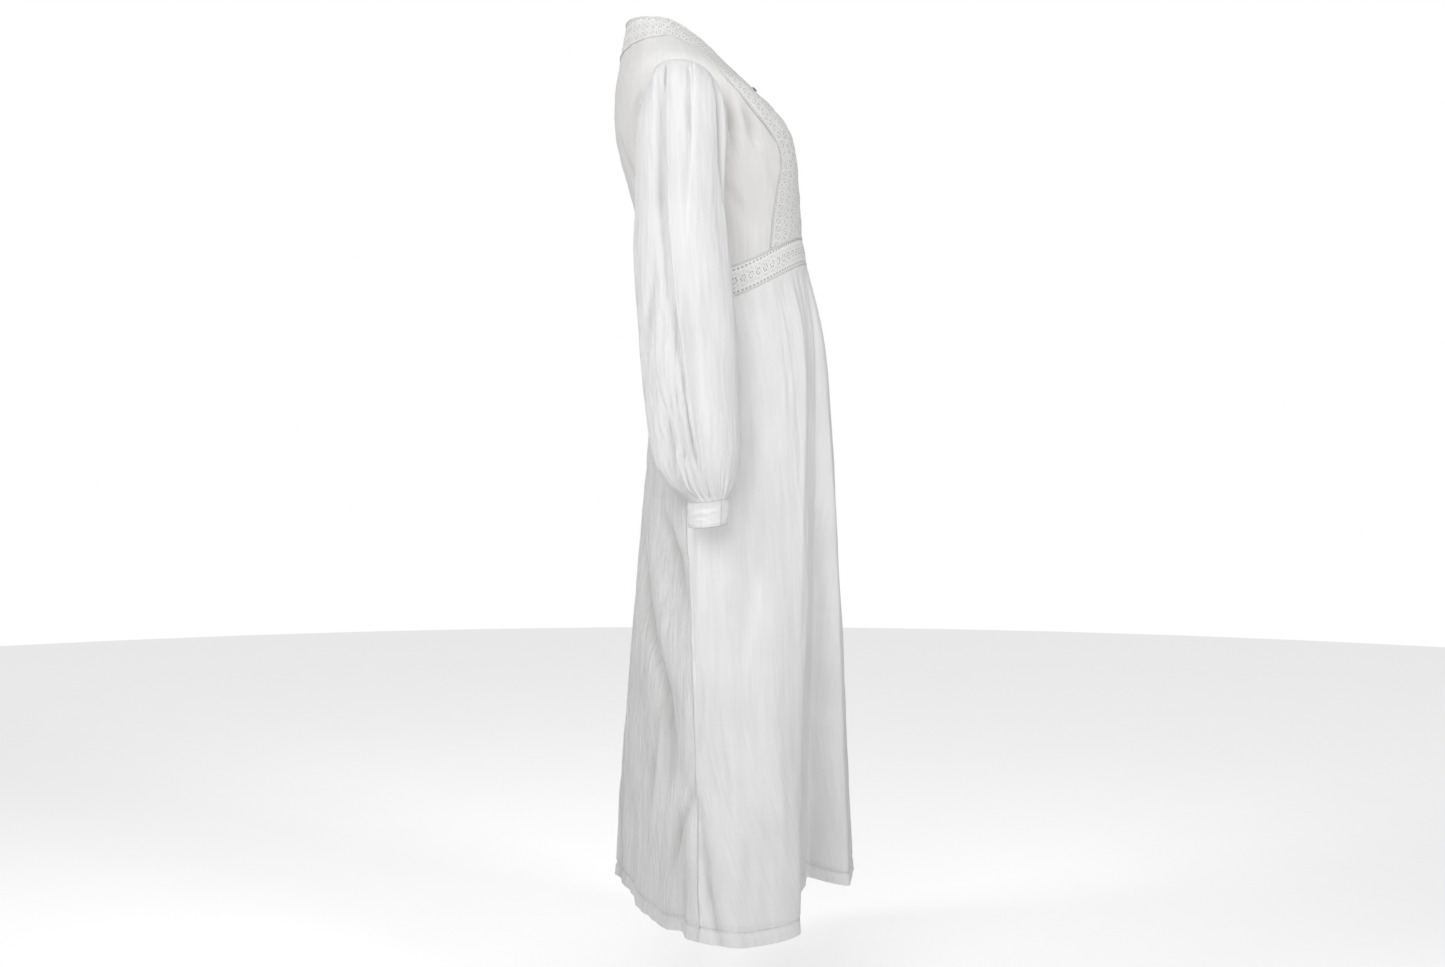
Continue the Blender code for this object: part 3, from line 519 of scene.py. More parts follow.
def back_edge(rows):
    neck_rows = rows * 3 // 8
    up = rows - neck_rows
    neck_angles = np.linspace(180.0, SHOULDER_SEAM, neck_rows + 1)
    angles = np.concatenate([np.full(up, 180.0), neck_angles])
    levels = np.linspace(0, BAND_LEVEL, up + 1)[:-1]
    return angles, np.concatenate([levels, np.full(neck_rows + 1, BAND_LEVEL)])


def ruled(first, last, columns):
    share = np.linspace(0, 1, columns + 1)[None, :]
    angle = first[0][:, None] * (1 - share) + last[0][:, None] * share
    level = first[1][:, None] * (1 - share) + last[1][:, None] * share
    return angle, level


def follow_seam(station, drop):
    """The angle of a column at a drop: the outer columns lean back with the side seam."""
    seam = column(SKIRT_RINGS, "seam", drop)
    folded = np.abs(signed(station))
    arc = SIDE_SEAM - LAST_ARC_START
    outward = LAST_ARC_START + (folded - LAST_ARC_START) * (seam - LAST_ARC_START) / arc
    behind = 180.0 - (180.0 - folded) * (180.0 - seam) / (180.0 - SIDE_SEAM)
    angle = np.where(folded <= LAST_ARC_START, folded, np.where(folded <= SIDE_SEAM, outward, behind))
    return np.where(signed(station) < 0, -angle, angle)


def folded_skirt(angle, drop):
    """The skirt with its main folds but no fine creases."""
    angle = signed(angle)
    points = ring_point(SKIRT_RINGS, angle, drop)
    centre_y = column(SKIRT_RINGS, "side_y", drop)
    inward = unit(np.stack([-points[..., 0], centre_y - points[..., 1]], axis=-1))
    depth = np.zeros(np.broadcast(angle, drop).shape)
    for fold in SKIRT_FOLDS:
        line = fold.top + (fold.foot - fold.top) * drop
        off = signed(angle - line)
        towards_back = (off > 0) == (fold.foot > 0)
        width = np.where(towards_back, fold.back_width, fold.front_width)
        width = width * (FOLD_WIDTH_AT_TOP + (1 - FOLD_WIDTH_AT_TOP) * drop)
        grown = np.clip((drop - fold.start) / (fold.full - fold.start), 0, 1)
        shape = smooth_step((1 - np.abs(off) / width) * fold.flatness) * grown
        depth += fold.depth * shape
        points[..., 2] += fold.lift * shape * drop**2
    points[..., :2] += inward * depth[..., None]
    return points


def gathers(across, count, seed, share, reach, start):
    """Uneven gathers that start sharp at the seam and die away, each at its own distance."""
    wander = 0.35 * noise(across * count / 3, share * 4, seed, count // 3)
    wave = np.cos(2 * np.pi * (across * count + wander))
    height = 0.55 + 0.6 * noise(across * count, share * 0.5, seed + 1, count)
    length = reach * (0.75 + 0.7 * noise(across * count / 2, share * 0 + 0.5, seed + 2, count // 2))
    fade = np.exp(-((share / np.maximum(length, 0.2 * reach)) ** 1.5)) * smooth_step(share / start)
    return (0.5 - 0.5 * wave) ** 1.4 * np.clip(height, 0.1, 1.2) * fade


def skirt_creases(angle, drop):
    depth = crease_depth(SKIRT_CREASES, drop, angle, 360)
    turn = signed(angle) / 360
    grown = smooth_step(drop / 0.12)
    depth += 0.0034 * gathers(turn, 42, 21, drop, 0.11, 0.02)
    depth += 0.0018 * noise(turn * 30, drop * 2.0, 31, 30) * grown
    depth += 0.0012 * noise(turn * 72 + 0.6 * noise(turn * 20, drop * 4, 36, 20), drop * 5.0, 32, 72)
    behind = 0.35 + 0.65 * smooth_step((np.abs(signed(angle)) - 95) / 20)
    depth += 0.0016 * wrinkles(turn * 60 + drop * 5.0, drop * 7.0, 33, 60) * behind * grown
    near_seam = np.exp(-((np.abs(signed(angle)) - column(SKIRT_RINGS, "seam", drop)) / 6.0) ** 2)
    depth += 0.0014 * noise(turn * 120, drop * 26.0, 34, 120) * near_seam * grown
    depth += 0.0006 * noise(turn * 150, drop * 12.0, 35, 150)
    hem = (1 - drop) * SKIRT_LENGTH
    band = smooth_step((HEM_TURNING - hem) / 0.003)
    stitched = np.exp(-(((hem - HEM_GROOVE) / 0.0018) ** 2))
    pucker = 0.5 + 0.5 * noise(turn * 300, drop * 3.0, 37, 300)
    depth += stitched * 0.0024 - band * 0.0010 + band * 0.0016 * pucker * smooth_step(hem / 0.02 + 0.3)
    return depth * smooth_step(drop / 0.02)


def skirt_normals(angle, drop):
    return slope_normals(folded_skirt, angle, drop, 0.4, -0.004)


def skirt_at_angle(angle, drop):
    """The skirt with its creases; across is the angle and along runs down."""
    angle, drop = aligned(angle, drop)
    return folded_skirt(angle, drop) - skirt_normals(angle, drop) * skirt_creases(angle, drop)[..., None]


def skirt_point(station, drop):
    return skirt_at_angle(follow_seam(station, drop), drop)


def waistband_point(station, rise):
    """The band runs straight from the skirt's upper edge (rise 0) to the bodice's lower edge (rise 1)."""
    top = plain_body(station, np.zeros_like(station))
    foot = folded_skirt(station, np.zeros_like(station))
    return foot + (top - foot) * rise[..., None]


def waistband_normals(station, rise):
    return slope_normals(waistband_point, station, rise, 0.5, 0.02)


def cuff_tilt(points, turn, centre_y):
    points[..., 2] += CUFF_SLOPE * (centre_y - points[..., 1]) - CUFF_DROOP * np.cos(2 * np.pi * turn)


def sleeve_base(turn, share):
    """Points of the left sleeve without folds: a cap from the armhole, then level rings down the arm."""
    a = 2 * np.pi * turn
    arm = np.maximum(share, CAP_END)
    centre_y = column(SLEEVE_RINGS, "centre_y", arm)
    ring = np.stack([
        column(SLEEVE_RINGS, "centre_x", arm) + column(SLEEVE_RINGS, "half_x", arm) * np.cos(a),
        centre_y - column(SLEEVE_RINGS, "half_y", arm) * np.sin(a),
        column(SLEEVE_RINGS, "z", arm),
    ], axis=-1)
    tilted = ring.copy()
    cuff_tilt(tilted, turn, centre_y)
    near_cuff = smooth_step((arm - 0.8) / 0.2)[..., None]
    ring = ring * (1 - near_cuff) + tilted * near_cuff
    hole = ring_point(BODY_RINGS, *armhole(turn))
    hole[..., 0] += SEAM_GAP
    span = np.linalg.norm(ring - hole, axis=-1, keepdims=True)
    out = unit(np.stack([np.ones_like(a), -CAP_SPREAD * np.sin(a), np.full_like(a, -CAP_FALL)], axis=-1))
    first = hole + out * span * CAP_START_PULL
    second = ring + np.array([0.0, 0.0, 1.0]) * span * CAP_END_PULL
    f = np.clip(share / CAP_END, 0, 1)[..., None]
    cap = hole * (1 - f) ** 3 + 3 * first * f * (1 - f) ** 2 + 3 * second * f**2 * (1 - f) + ring * f**3
    return np.where((share < CAP_END)[..., None], cap, ring)


def sleeve_folds(turn, share):
    depth = np.zeros(turn.shape)
    for fold in SLEEVE_FOLDS:
        line = fold.top + (fold.foot - fold.top) * share
        off = nearest_turn(turn - line, 1.0)
        run = np.clip((share - fold.start) / (fold.end - fold.start), 0, 1)
        depth += fold.depth * bump(off / fold.width) * np.sin(np.pi * run)
    return depth


def sleeve_creases(turn, share, seed, shift):
    """Pleats at the head, long creases down the arm, crumpling at the lower back and gathers at the cuff."""
    depth = crease_depth(SLEEVE_CREASES, share, turn - shift, 1)
    outer = 0.5 + 0.5 * np.cos(2 * np.pi * turn)
    header = smooth_step((share - 0.022) / 0.02)
    depth += 0.0026 * gathers(turn, 15, seed, share, 0.10, 0.03) * outer * header
    depth += 0.0062 * gathers(turn, 21, seed + 4, 1 - share, 0.11, 0.008)
    depth += 0.0026 * gathers(turn + 0.01, 42, seed + 8, 1 - share, 0.07, 0.008)
    rear = smooth_step((np.abs(nearest_turn(turn - shift - 0.86, 1)) - 0.17) / -0.08)
    low = smooth_step((share - 0.35) / 0.25) * smooth_step((1.02 - share) / 0.1)
    lean = turn + 0.10 * share
    depth += 0.0018 * wrinkles(lean * 40, share * 7.0, seed + 12, 40) * rear * low
    depth += 0.0016 * noise(lean * 64, share * 14.0, seed + 13, 64) * (0.2 + rear * low)
    depth += 0.0011 * noise(turn * 9, share * 3.0, seed + 14, 9)
    depth += 0.0005 * noise(turn * 66, share * 22.0, seed + 15, 66)
    return depth * smooth_step(share / 0.02) * smooth_step((1 - share) / 0.012)


def wrapped_normals(points):
    """Normals of a grid that closes across; across x along points out."""
    across = np.roll(points, -1, axis=1) - np.roll(points, 1, axis=1)
    along = np.gradient(points, axis=0)
    return unit(np.cross(across, along))


def sleeve_grid(rows, columns, seed, shift):
    """Points and crease depths once round the left sleeve, from its inner side, down from the armhole."""
    even = 0.5 + np.arange(columns) / columns
    turn, share = np.meshgrid(even - OUTER_DENSITY * np.sin(2 * np.pi * even), np.linspace(0, 1, rows + 1))
    points = sleeve_base(turn, share)
    inward = unit(points.mean(axis=1, keepdims=True) - points)
    points = points + inward * sleeve_folds(turn, share)[..., None]
    depth = sleeve_creases(turn, share, seed, shift)
    points = points - wrapped_normals(points) * depth[..., None]
    return np.concatenate([points, points[:, :1]], axis=1), np.concatenate([depth, depth[:, :1]], axis=1)


def lengths_along(points, axis):
    """Distance travelled along a grid's rows or columns, starting at 0."""
    steps = np.linalg.norm(np.diff(points, axis=axis), axis=-1)
    start = np.zeros_like(np.take(steps, [0], axis=axis))
    return np.concatenate([start, np.cumsum(steps, axis=axis)], axis=axis)


class Wire:
    """A socket in a node tree that can be used in sums."""

    def __init__(self, tree, socket):
        self.tree = tree
        self.socket = socket

    def math(self, operation, *others):
        node = self.tree.nodes.new("ShaderNodeMath")
        node.operation = operation
        for i, value in enumerate((self, *others)):
            if isinstance(value, Wire):
                self.tree.links.new(value.socket, node.inputs[i])
            else:
                node.inputs[i].default_value = value
        return Wire(self.tree, node.outputs[0])

    def __add__(self, other):
        return self.math("ADD", other)

    def __sub__(self, other):
        return self.math("SUBTRACT", other)

    def __mul__(self, other):
        return self.math("MULTIPLY", other)

    __radd__ = __add__
    __rmul__ = __mul__

    def __rsub__(self, other):
        return (self * -1.0) + other

    def between(self, low, high):
        """0 below low and 1 above high, smooth in between; the other way round where low is the higher."""
        node = self.tree.nodes.new("ShaderNodeMapRange")
        node.interpolation_type = "SMOOTHSTEP"
        self.tree.links.new(self.socket, node.inputs[0])
        flipped = low > high
        node.inputs[1].default_value = min(low, high)
        node.inputs[2].default_value = max(low, high)
        node.inputs[3].default_value = 1.0 if flipped else 0.0
        node.inputs[4].default_value = 0.0 if flipped else 1.0
        return Wire(self.tree, node.outputs[0])


class Finish:
    """A material and the few node makers that its pattern needs. The pattern lies in metres on the cloth."""

    def __init__(self, name, roughness, sheen=0.0):
        self.material = bpy.data.materials.new(name)
        self.material.use_nodes = True
        self.tree = self.material.node_tree
        self.shader = self.tree.nodes["Principled BSDF"]
        self.shader.inputs["Roughness"].default_value = roughness
        self.shader.inputs["Specular IOR Level"].default_value = 0.25
        self.shader.inputs["Sheen Weight"].default_value = sheen
        self.shader.inputs["Sheen Roughness"].default_value = 0.5
        place = self.tree.nodes.new("ShaderNodeUVMap")
        place.uv_map = "cloth"
        apart = self.tree.nodes.new("ShaderNodeSeparateXYZ")
        self.tree.links.new(place.outputs[0], apart.inputs[0])
        self.across = Wire(self.tree, apart.outputs[0])
        self.along = Wire(self.tree, apart.outputs[1])
        # The crease depth kept on the mesh, which the gauze uses to paint shade into its creases.
        hollow = self.tree.nodes.new("ShaderNodeAttribute")
        hollow.attribute_name = "hollow"
        self.hollow = Wire(self.tree, hollow.outputs["Fac"])

    def noise(self, across, along, detail=2.0, roughness=0.5):
        """Noise whose grain is the given number of steps in a metre, across and along."""
        joined = self.tree.nodes.new("ShaderNodeCombineXYZ")
        self.tree.links.new((self.across * across).socket, joined.inputs[0])
        self.tree.links.new((self.along * along).socket, joined.inputs[1])
        node = self.tree.nodes.new("ShaderNodeTexNoise")
        node.noise_dimensions = "2D"
        node.inputs["Scale"].default_value = 1.0
        node.inputs["Detail"].default_value = detail
        node.inputs["Roughness"].default_value = roughness
        self.tree.links.new(joined.outputs[0], node.inputs["Vector"])
        return Wire(self.tree, node.outputs[0])

    def colour(self, amount, low, high):
        mix = self.tree.nodes.new("ShaderNodeMix")
        mix.data_type = "RGBA"
        self.tree.links.new(amount.socket, mix.inputs[0])
        mix.inputs[6].default_value = (*low, 1.0)
        mix.inputs[7].default_value = (*high, 1.0)
        self.tree.links.new(mix.outputs[2], self.shader.inputs["Base Color"])

    def relief(self, height, distance):
        """Raises the surface by height, from 0 to 1, times a distance in metres."""
        node = self.tree.nodes.new("ShaderNodeBump")
        node.inputs["Distance"].default_value = distance
        self.tree.links.new(height.socket, node.inputs["Height"])
        self.tree.links.new(node.outputs[0], self.shader.inputs["Normal"])


def gauze_finish(name, low, high, crinkling):
    """Fine cotton gauze: long soft crinkles, faint slubs both ways, a plain weave, and painted shade, deep in
    its creases and faint in the crinkles' valleys.
    """
    made = Finish(name, 0.95, 0.10)
    crinkle = made.noise(210, 12, 2.0, 0.5)
    fine = made.noise(560, 60, 2.0, 0.5)
    slub_along = made.noise(1000, 8, 1.0)
    slub_across = made.noise(12, 800, 1.0)
    cloud = made.noise(14, 9, 2.0)
    threads = (made.across * 6283.0).math("SINE") * 0.5 + (made.along * 6283.0).math("SINE") * 0.5
    height = crinkle * 0.62 + fine * 0.20 + slub_across * 0.06 + slub_along * 0.08 + threads * 0.03
    made.relief(height, crinkling)
    # The tone partly follows the crinkle noise that also raises the relief, so the crinkles' valleys are a
    # little darker: a faint painted shade. The slubs and cloud are the cloth's own uneven colour.
    tone = crinkle * 0.30 + slub_across * 0.12 + slub_along * 0.12 + cloud * 0.46
    # Painted crease shade: the colour falls towards the low colour as the crease deepens.
    made.colour(tone.between(0.30, 0.70) * 0.30 + 0.70 - made.hollow * 0.70, low, high)
    return made.material


def in_cell(at):
    """From -0.5 to 0.5 across each repeat, whose centres are at whole numbers."""
    return (at + 0.5).math("FRACT") - 0.5


def motif(across, along, size_across, size_along, petals, holes):
    """Threads and holes of one repeated rosette: a ring round pierced openings and a small flower."""
    x = in_cell(across) * (1.0 / size_across)
    y = in_cell(along) * (1.0 / size_along)
    radius = (x * x + y * y).math("SQRT")
    turn = y.math("ARCTAN2", x)
    ring = (radius - 0.86).math("ABSOLUTE").between(0.17, 0.08)
    flower = (radius - ((turn * petals).math("COSINE") * 0.14 + 0.34)).between(0.08, -0.06)
    band = (radius - 0.58).math("ABSOLUTE").between(0.20, 0.12)
    pierced = band * (turn * holes).math("COSINE").between(0.55, 0.15)
    centre = radius.between(0.15, 0.09)
    return ring.math("MAXIMUM", flower), pierced.math("MAXIMUM", centre)


def lace_finish(name, column_at, pitch_across, pitch_along, openness, edges):
    """Dense cotton lace: rows of rosettes on a fine net, with a corded and pierced line along each edge."""
    made = Finish(name, 0.9, 0.10)
    t = made.across
    s = made.along
    mesh = (((t + s) * 2000.0).math("SINE") * ((t - s) * 2000.0).math("SINE")).math("ABSOLUTE")
    uneven = made.noise(260, 260, 2.0)
    height = mesh.between(0.75, 0.15) * 0.26 + uneven * 0.44 + 0.20
    cell = (t - column_at) * (1.0 / pitch_across)
    odd = (cell + 0.5).math("FLOOR").math("MODULO", 2.0).math("ABSOLUTE")
    row = s * (1.0 / pitch_along) + odd * 0.5
    threads, holes = motif(cell, row, 0.43, 0.47, 4.0, 6.0)
    small_threads, small_holes = motif(cell + 0.5, row + 0.5, 0.17, 0.25, 3.0, 4.0)
    threads = threads.math("MAXIMUM", small_threads * 0.9)
    holes = holes.math("MAXIMUM", small_holes * 0.7)
    height = height.math("MAXIMUM", threads * (made.noise(420, 420, 1.0) * 0.4 + 0.72))
    height = height * (1.0 - holes * openness)
    height = height.math("MAXIMUM", made.noise(380, 300, 3.0).between(0.50, 0.66) * 0.62)
    for edge in edges:
        off = (t - edge.at) * edge.side
        covered = off.between(edge.inner + 0.0008, edge.inner)
        height = height * (1.0 - covered) + covered * 0.62
        beside = (off - edge.holes).math("ABSOLUTE").between(edge.hole_size * 0.5, edge.hole_size * 0.36)
        ladder = in_cell(s * (1.0 / edge.pitch)).math("ABSOLUTE").between(0.36, 0.26)
        height = height * (1.0 - beside * ladder * openness)
        for bar, wide in ((0.0, 0.0014), (edge.inner, 0.0008)):
            height = height.math("MAXIMUM", (off - bar).math("ABSOLUTE").between(wide, wide * 0.5))
    made.relief(height, 0.0006)
    # Threads light; the holes and the gaps of the net dark, as painted shade of the dress's inside seen
    # through them.
    made.colour(height.between(0.0, 0.70), (0.36, 0.355, 0.35), (0.89, 0.885, 0.88))
    return made.material


def thread_finish(name, low, high):
    """Twisted cotton cord or sewing thread."""
    made = Finish(name, 0.85, 0.1)
    twist = ((made.along * 5200.0) + (made.across * 9000.0)).math("SINE") * 0.5 + 0.5
    worn = made.noise(400, 120)
    made.relief(twist, 0.0003)
    # The twist's grooves, where the relief sinks, are darker: painted shade. The worn noise is the cord's own
    # uneven colour.
    made.colour((twist * 0.5 + worn * 0.5).between(0.2, 0.8), low, high)
    return made.material


def horn_finish(name):
    """Brown horn with darker streaks and a soft polish."""
    made = Finish(name, 0.35)
    streak = made.noise(500, 3000, 3.0, 0.6)
    made.colour(streak.between(0.3, 0.7), (0.15, 0.085, 0.045), (0.36, 0.23, 0.13))
    made.relief(streak, 0.0002)
    return made.material


def floor_finish(name):
    made = Finish(name, 0.9)
    spread = made.noise(6, 6, 2.0)
    made.colour(spread, (0.80, 0.80, 0.80), (0.83, 0.83, 0.83))
    made.shader.inputs["Emission Color"].default_value = (1.0, 1.0, 1.0, 1.0)
    rays = made.tree.nodes.new("ShaderNodeLightPath")
    glow = Wire(made.tree, rays.outputs["Is Camera Ray"]) * (FLOOR_SEEN_GLOW - FLOOR_GLOW) + FLOOR_GLOW
    made.tree.links.new(glow.socket, made.shader.inputs["Emission Strength"])
    return made.material


def object_of(name, vertices, faces, places, finish, hollow=None):
    """A smooth mesh object, welded where points meet and sharp along its open edges.

    The cloth map holds each point's place in metres, and the crease depth attribute, from 0 to 1, says how
    deep each point lies in a crease, for the painted crease shade of the gauze.
    """
    steps = np.round(vertices / WELD_DISTANCE).astype(np.int64)
    _, kept, same = np.unique(steps, axis=0, return_index=True, return_inverse=True)
    same = same.ravel()
    mesh = bpy.data.meshes.new(name)
    mesh.from_pydata(vertices[kept].tolist(), [], [same[face].tolist() for face in faces])
    layer = mesh.uv_layers.new(name="cloth")
    corners = np.concatenate([np.asarray(face) for face in faces])
    layer.data.foreach_set("uv", np.asarray(places, np.float32)[corners].ravel())
    mesh.shade_smooth()
    # Keeps the crease depth that the gauze paints as shade.
    if hollow is not None:
        shade = mesh.attributes.new("hollow", "FLOAT", "POINT")
        shade.data.foreach_set("value", np.asarray(hollow, np.float32)[kept])
    edges = np.zeros(len(mesh.loops), dtype=np.int32)
    mesh.loops.foreach_get("edge_index", edges)
    open_edges = np.bincount(edges, minlength=len(mesh.edges)) == 1
    sharp = mesh.attributes.new("sharp_edge", "BOOLEAN", "EDGE")
    sharp.data.foreach_set("value", open_edges)
    mesh.materials.append(finish)
    made = bpy.data.objects.new(name, mesh)
    bpy.context.scene.collection.objects.link(made)
    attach(made, "root")
    return made


def grid_faces(rows, columns, wrapped=False):
    """Faces of a grid of (rows + 1) lines; a wrapped grid's last column joins its first."""
    width = columns if wrapped else columns + 1
    r, c = np.meshgrid(np.arange(rows), np.arange(columns), indexing="ij")
    following = (c + 1) % width
    low, high = r * width, (r + 1) * width
    return np.stack([low + c, low + following, high + following, high + c], axis=-1).reshape(-1, 4)


def tube_faces(rings, sides):
    """Faces of a closed tube through its rings of points, with a cap on each end."""
    faces = grid_faces(rings - 1, sides, True).tolist()
    last = (rings - 1) * sides
    return faces + [list(range(sides))[::-1], list(range(last, last + sides))]


def cloth_piece(node, grids, places, finish, wall, hollow=None):
    """Thin cloth in a node's place, through grids of points, with its wall inside."""
    vertices = np.concatenate([grid.reshape(-1, 3) for grid in grids])
    flat = np.concatenate([place.reshape(-1, 2) for place in places])
    faces = []
    start = 0
    for grid in grids:
        faces.extend((grid_faces(grid.shape[0] - 1, grid.shape[1] - 1) + start).tolist())
        start += grid.shape[0] * grid.shape[1]
    piece = object_of(node + "_cloth", vertices, faces, flat, finish, hollow)
    thickness = piece.modifiers.new("wall", "SOLIDIFY")
    thickness.thickness = wall
    thickness.offset = -1.0
    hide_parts(node)
    return piece


def painted_shade_amount(depth):
    """How dark a crease's painted shade is, from 0 on the open cloth to 1 in the deepest."""
    return smooth_step(depth / PAINTED_SHADE_DEPTH).ravel()


def mirrored(grid):
    return grid[:, ::-1] * ACROSS


def measured(points):
    """Places on the cloth in metres: along each row, and up each column."""
    return np.stack([lengths_along(points, 1), lengths_along(points, 0)], axis=-1)


def upright(points, angle):
    """Places on the bodice with the grain upright: round the body and up."""
    return np.stack([np.radians(angle) * BODY_REACH, points[..., 2]], axis=-1)


def area_of(points):
    a = points[1:, :-1] - points[:-1, :-1]
    b = points[:-1, 1:] - points[:-1, :-1]
    return float(np.linalg.norm(np.cross(a, b), axis=-1).sum())


def tube(line, radius, outward, flatten=1.0, sides=8):
    """Vertices, faces and places of a closed cord along a line, flattened towards outward."""
    line = np.asarray(line, float)
    ahead = unit(np.gradient(line, axis=0))
    side = unit(np.cross(ahead, np.broadcast_to(outward, line.shape)))
    lift = np.cross(side, ahead)
    turn = np.arange(sides) / sides * 2 * np.pi
    thick = np.full(len(line), radius)
    thick[[0, -1]] *= 0.5
    ring = np.cos(turn)[None, :, None] * side[:, None] + np.sin(turn)[None, :, None] * lift[:, None] * flatten
    points = line[:, None] + ring * thick[:, None, None]
    travelled = lengths_along(line[:, None], 0)
    along = np.broadcast_to(travelled, points.shape[:2])
    across = np.broadcast_to(turn[None] * radius, points.shape[:2])
    places = np.stack([across, along], axis=-1).reshape(-1, 2)
    return points.reshape(-1, 3), tube_faces(len(line), sides), places


def joined(parts):
    """Several (vertices, faces, places) as one."""
    vertices, faces, places = [], [], []
    start = 0
    for part_vertices, part_faces, part_places in parts:
        vertices.append(part_vertices)
        places.append(part_places)
        faces.extend([[index + start for index in face] for face in part_faces])
        start += len(part_vertices)
    return np.concatenate(vertices), faces, np.concatenate(places)


def trim_piece(name, parts, finish):
    """Cords, seams or stitches of one kind as one piece."""
    piece = object_of(name, *joined(parts), finish)
    return piece


def stitches(line, outward, length, gap, radius):
    """Short threads along a line of points, each a little sunk at its ends."""
    run = lengths_along(line[:, None], 0)[:, 0]
    starts = np.arange(gap, run[-1] - length, length + gap)
    made = []
    for start in starts:
        at = start + length * np.array([0.0, 0.3, 0.7, 1.0])
        points = np.stack([np.interp(at, run, line[:, i]) for i in range(3)], axis=-1)
        up = np.stack([np.interp(at, run, outward[:, i]) for i in range(3)], axis=-1)
        sunk = np.array([-0.6, 0.4, 0.4, -0.6]) * radius
        made.append(tube(points + up * sunk[:, None], radius, up, 0.7, 4))
    return made


def body_line(angle, level, proud=0.0):
    """A line of points on the bodice and which way the cloth faces there."""
    angle, level = aligned(angle, level)
    normals = body_normals(angle, level)
    return body_point(angle, level) + normals * proud, normals


def skirt_line(angle, drop, proud=0.0):
    angle, drop = aligned(angle, drop)
    normals = skirt_normals(angle, drop)
    return skirt_at_angle(angle, drop) + normals * proud, normals


def centred(places):
    """Moves the start of each row's measure to its middle column."""
    places = places.copy()
    middle = places.shape[1] // 2
    places[..., 0] -= places[:, middle : middle + 1, 0]
    return places


def make_bodice(finish):
    rows, columns = 100, 48
    angle, level = ruled(bib_edge(rows), outer_edge(0.0, rows), columns)
    left = body_point(angle, level)
    right = body_point(-angle, level)[:, ::-1]
    for name, points, turned in (("left", left, angle), ("right", right, -angle[:, ::-1])):
        places = upright(points, turned)
        hollow = painted_shade_amount(body_creases(turned, level if name == "left" else level[:, ::-1]))
        piece = cloth_piece(f"bodice_front_{name}", [points], [places], finish, CLOTH_WALL, hollow)
        area = area_of(points) * CURVED_CUT
    rows, columns = 120, 46
    angle, level = ruled(back_edge(rows), outer_edge(1.0, rows), columns)
    left = body_point(angle, level)[:, ::-1]
    right = body_point(-angle, level)
    places_left = upright(left, angle[:, ::-1])
    places_right = upright(right, 360 - angle)
    places = [places_left, places_right]
    piece = cloth_piece("bodice_back", [left, right], places, finish, CLOTH_WALL)
    area = (area_of(left) + area_of(right)) * CURVED_CUT


def bib_outline(neck_rows, panel_rows):
    """Outer and inner edges of one half of the lace, from centre back to the foot of centre front."""
    seam_angles, seam_levels = bib_edge(panel_rows)
    neck_angles = np.linspace(180.0, SHOULDER_SEAM, neck_rows + 1)
    outer = (
        np.concatenate([neck_angles, seam_angles[-2::-1]]),
        np.concatenate([np.full(neck_rows + 1, BAND_LEVEL), seam_levels[-2::-1]]),
    )
    round_rows = panel_rows * 3 // 8
    round_neck = np.linspace(SHOULDER_SEAM, 0.0, round_rows + 1)[1:]
    down_front = np.linspace(NECK_LEVEL, 0.0, panel_rows - round_rows + 1)[1:]
    inner = (
        np.concatenate([neck_angles, round_neck, np.zeros(len(down_front))]),
        np.concatenate([np.full(neck_rows + 1 + round_rows, NECK_LEVEL), down_front]),
    )
    return outer, inner


def nearest_on(line, points):
    """Distance of each point from a line of points, and how far along the line the nearest one lies."""
    run = lengths_along(line[:, None], 0)[:, 0]
    flat = points.reshape(-1, 3)
    apart = np.linalg.norm(flat[:, None] - line[None], axis=-1)
    nearest = apart.argmin(axis=1)
    away = apart[np.arange(len(flat)), nearest]
    weight = 1 / (apart + 1e-5) ** 4
    weight /= weight.sum(axis=1, keepdims=True)
    along = (weight * run[None]).sum(axis=1)
    return away.reshape(points.shape[:2]), along.reshape(points.shape[:2])


def make_bib(finish):
    outer, inner = bib_outline(84, 224)
    angle, level = ruled(outer, inner, 32)
    for side in ("left", "right"):
        turned = angle if side == "left" else -angle
        points = body_point(turned, level)
        away, along = nearest_on(points[:, 0], points)
        places = np.stack([away, along], axis=-1)
        if side == "right":
            points = points[:, ::-1]
            places = places[:, ::-1]
        piece = cloth_piece(f"bib_lace_{side}", [points], [places], finish, LACE_WALL)
        area = area_of(points) * LACE_CUT


def make_waistband(finish):
    for name, first, last in (("front", -SIDE_SEAM, SIDE_SEAM), ("back", SIDE_SEAM, 360 - SIDE_SEAM)):
        station, rise = np.meshgrid(even_stations(first, last, 300, 0.0), np.linspace(0, 1, 21))
        points = waistband_point(station, rise)
        turn = signed(station) / 360
        middle = np.sin(np.pi * rise)
        swell = 0.0009 * middle + 0.0007 * noise(turn * 40, rise * 1.5, 51, 40) * middle
        points = points + waistband_normals(station, rise) * swell[..., None]
        places = measured(points)[..., ::-1]
        piece = cloth_piece(f"waistband_{name}", [points], [places], finish, LACE_WALL)


def even_stations(first, last, count, drop):
    """Stations spaced evenly over the cloth at a drop."""
    fine = np.linspace(first, last, 2001)
    line = folded_skirt(follow_seam(fine, drop), np.full(2001, drop))
    run = lengths_along(line[:, None], 0)[:, 0]
    return np.interp(np.linspace(0, run[-1], count + 1), run, fine)


def crest_centred(places, stations):
    """Measures each row of the front from the crests of its side folds, so that the grain hangs upright."""
    run = places[..., 0] - places[:, places.shape[1] // 2][:, None, 0]
    crest = np.abs(run[:, np.abs(stations + CREST_STATION).argmin()])[:, None]
    return np.stack([np.abs(run) - crest, places[..., 1]], axis=-1)


def fanned(places):
    """Gives each column one measure from top to bottom, so that the grain fans out with the cloth."""
    run = centred(places)[..., 0].mean(axis=0, keepdims=True)
    return np.stack([np.broadcast_to(run, places.shape[:2]), places[..., 1]], axis=-1)


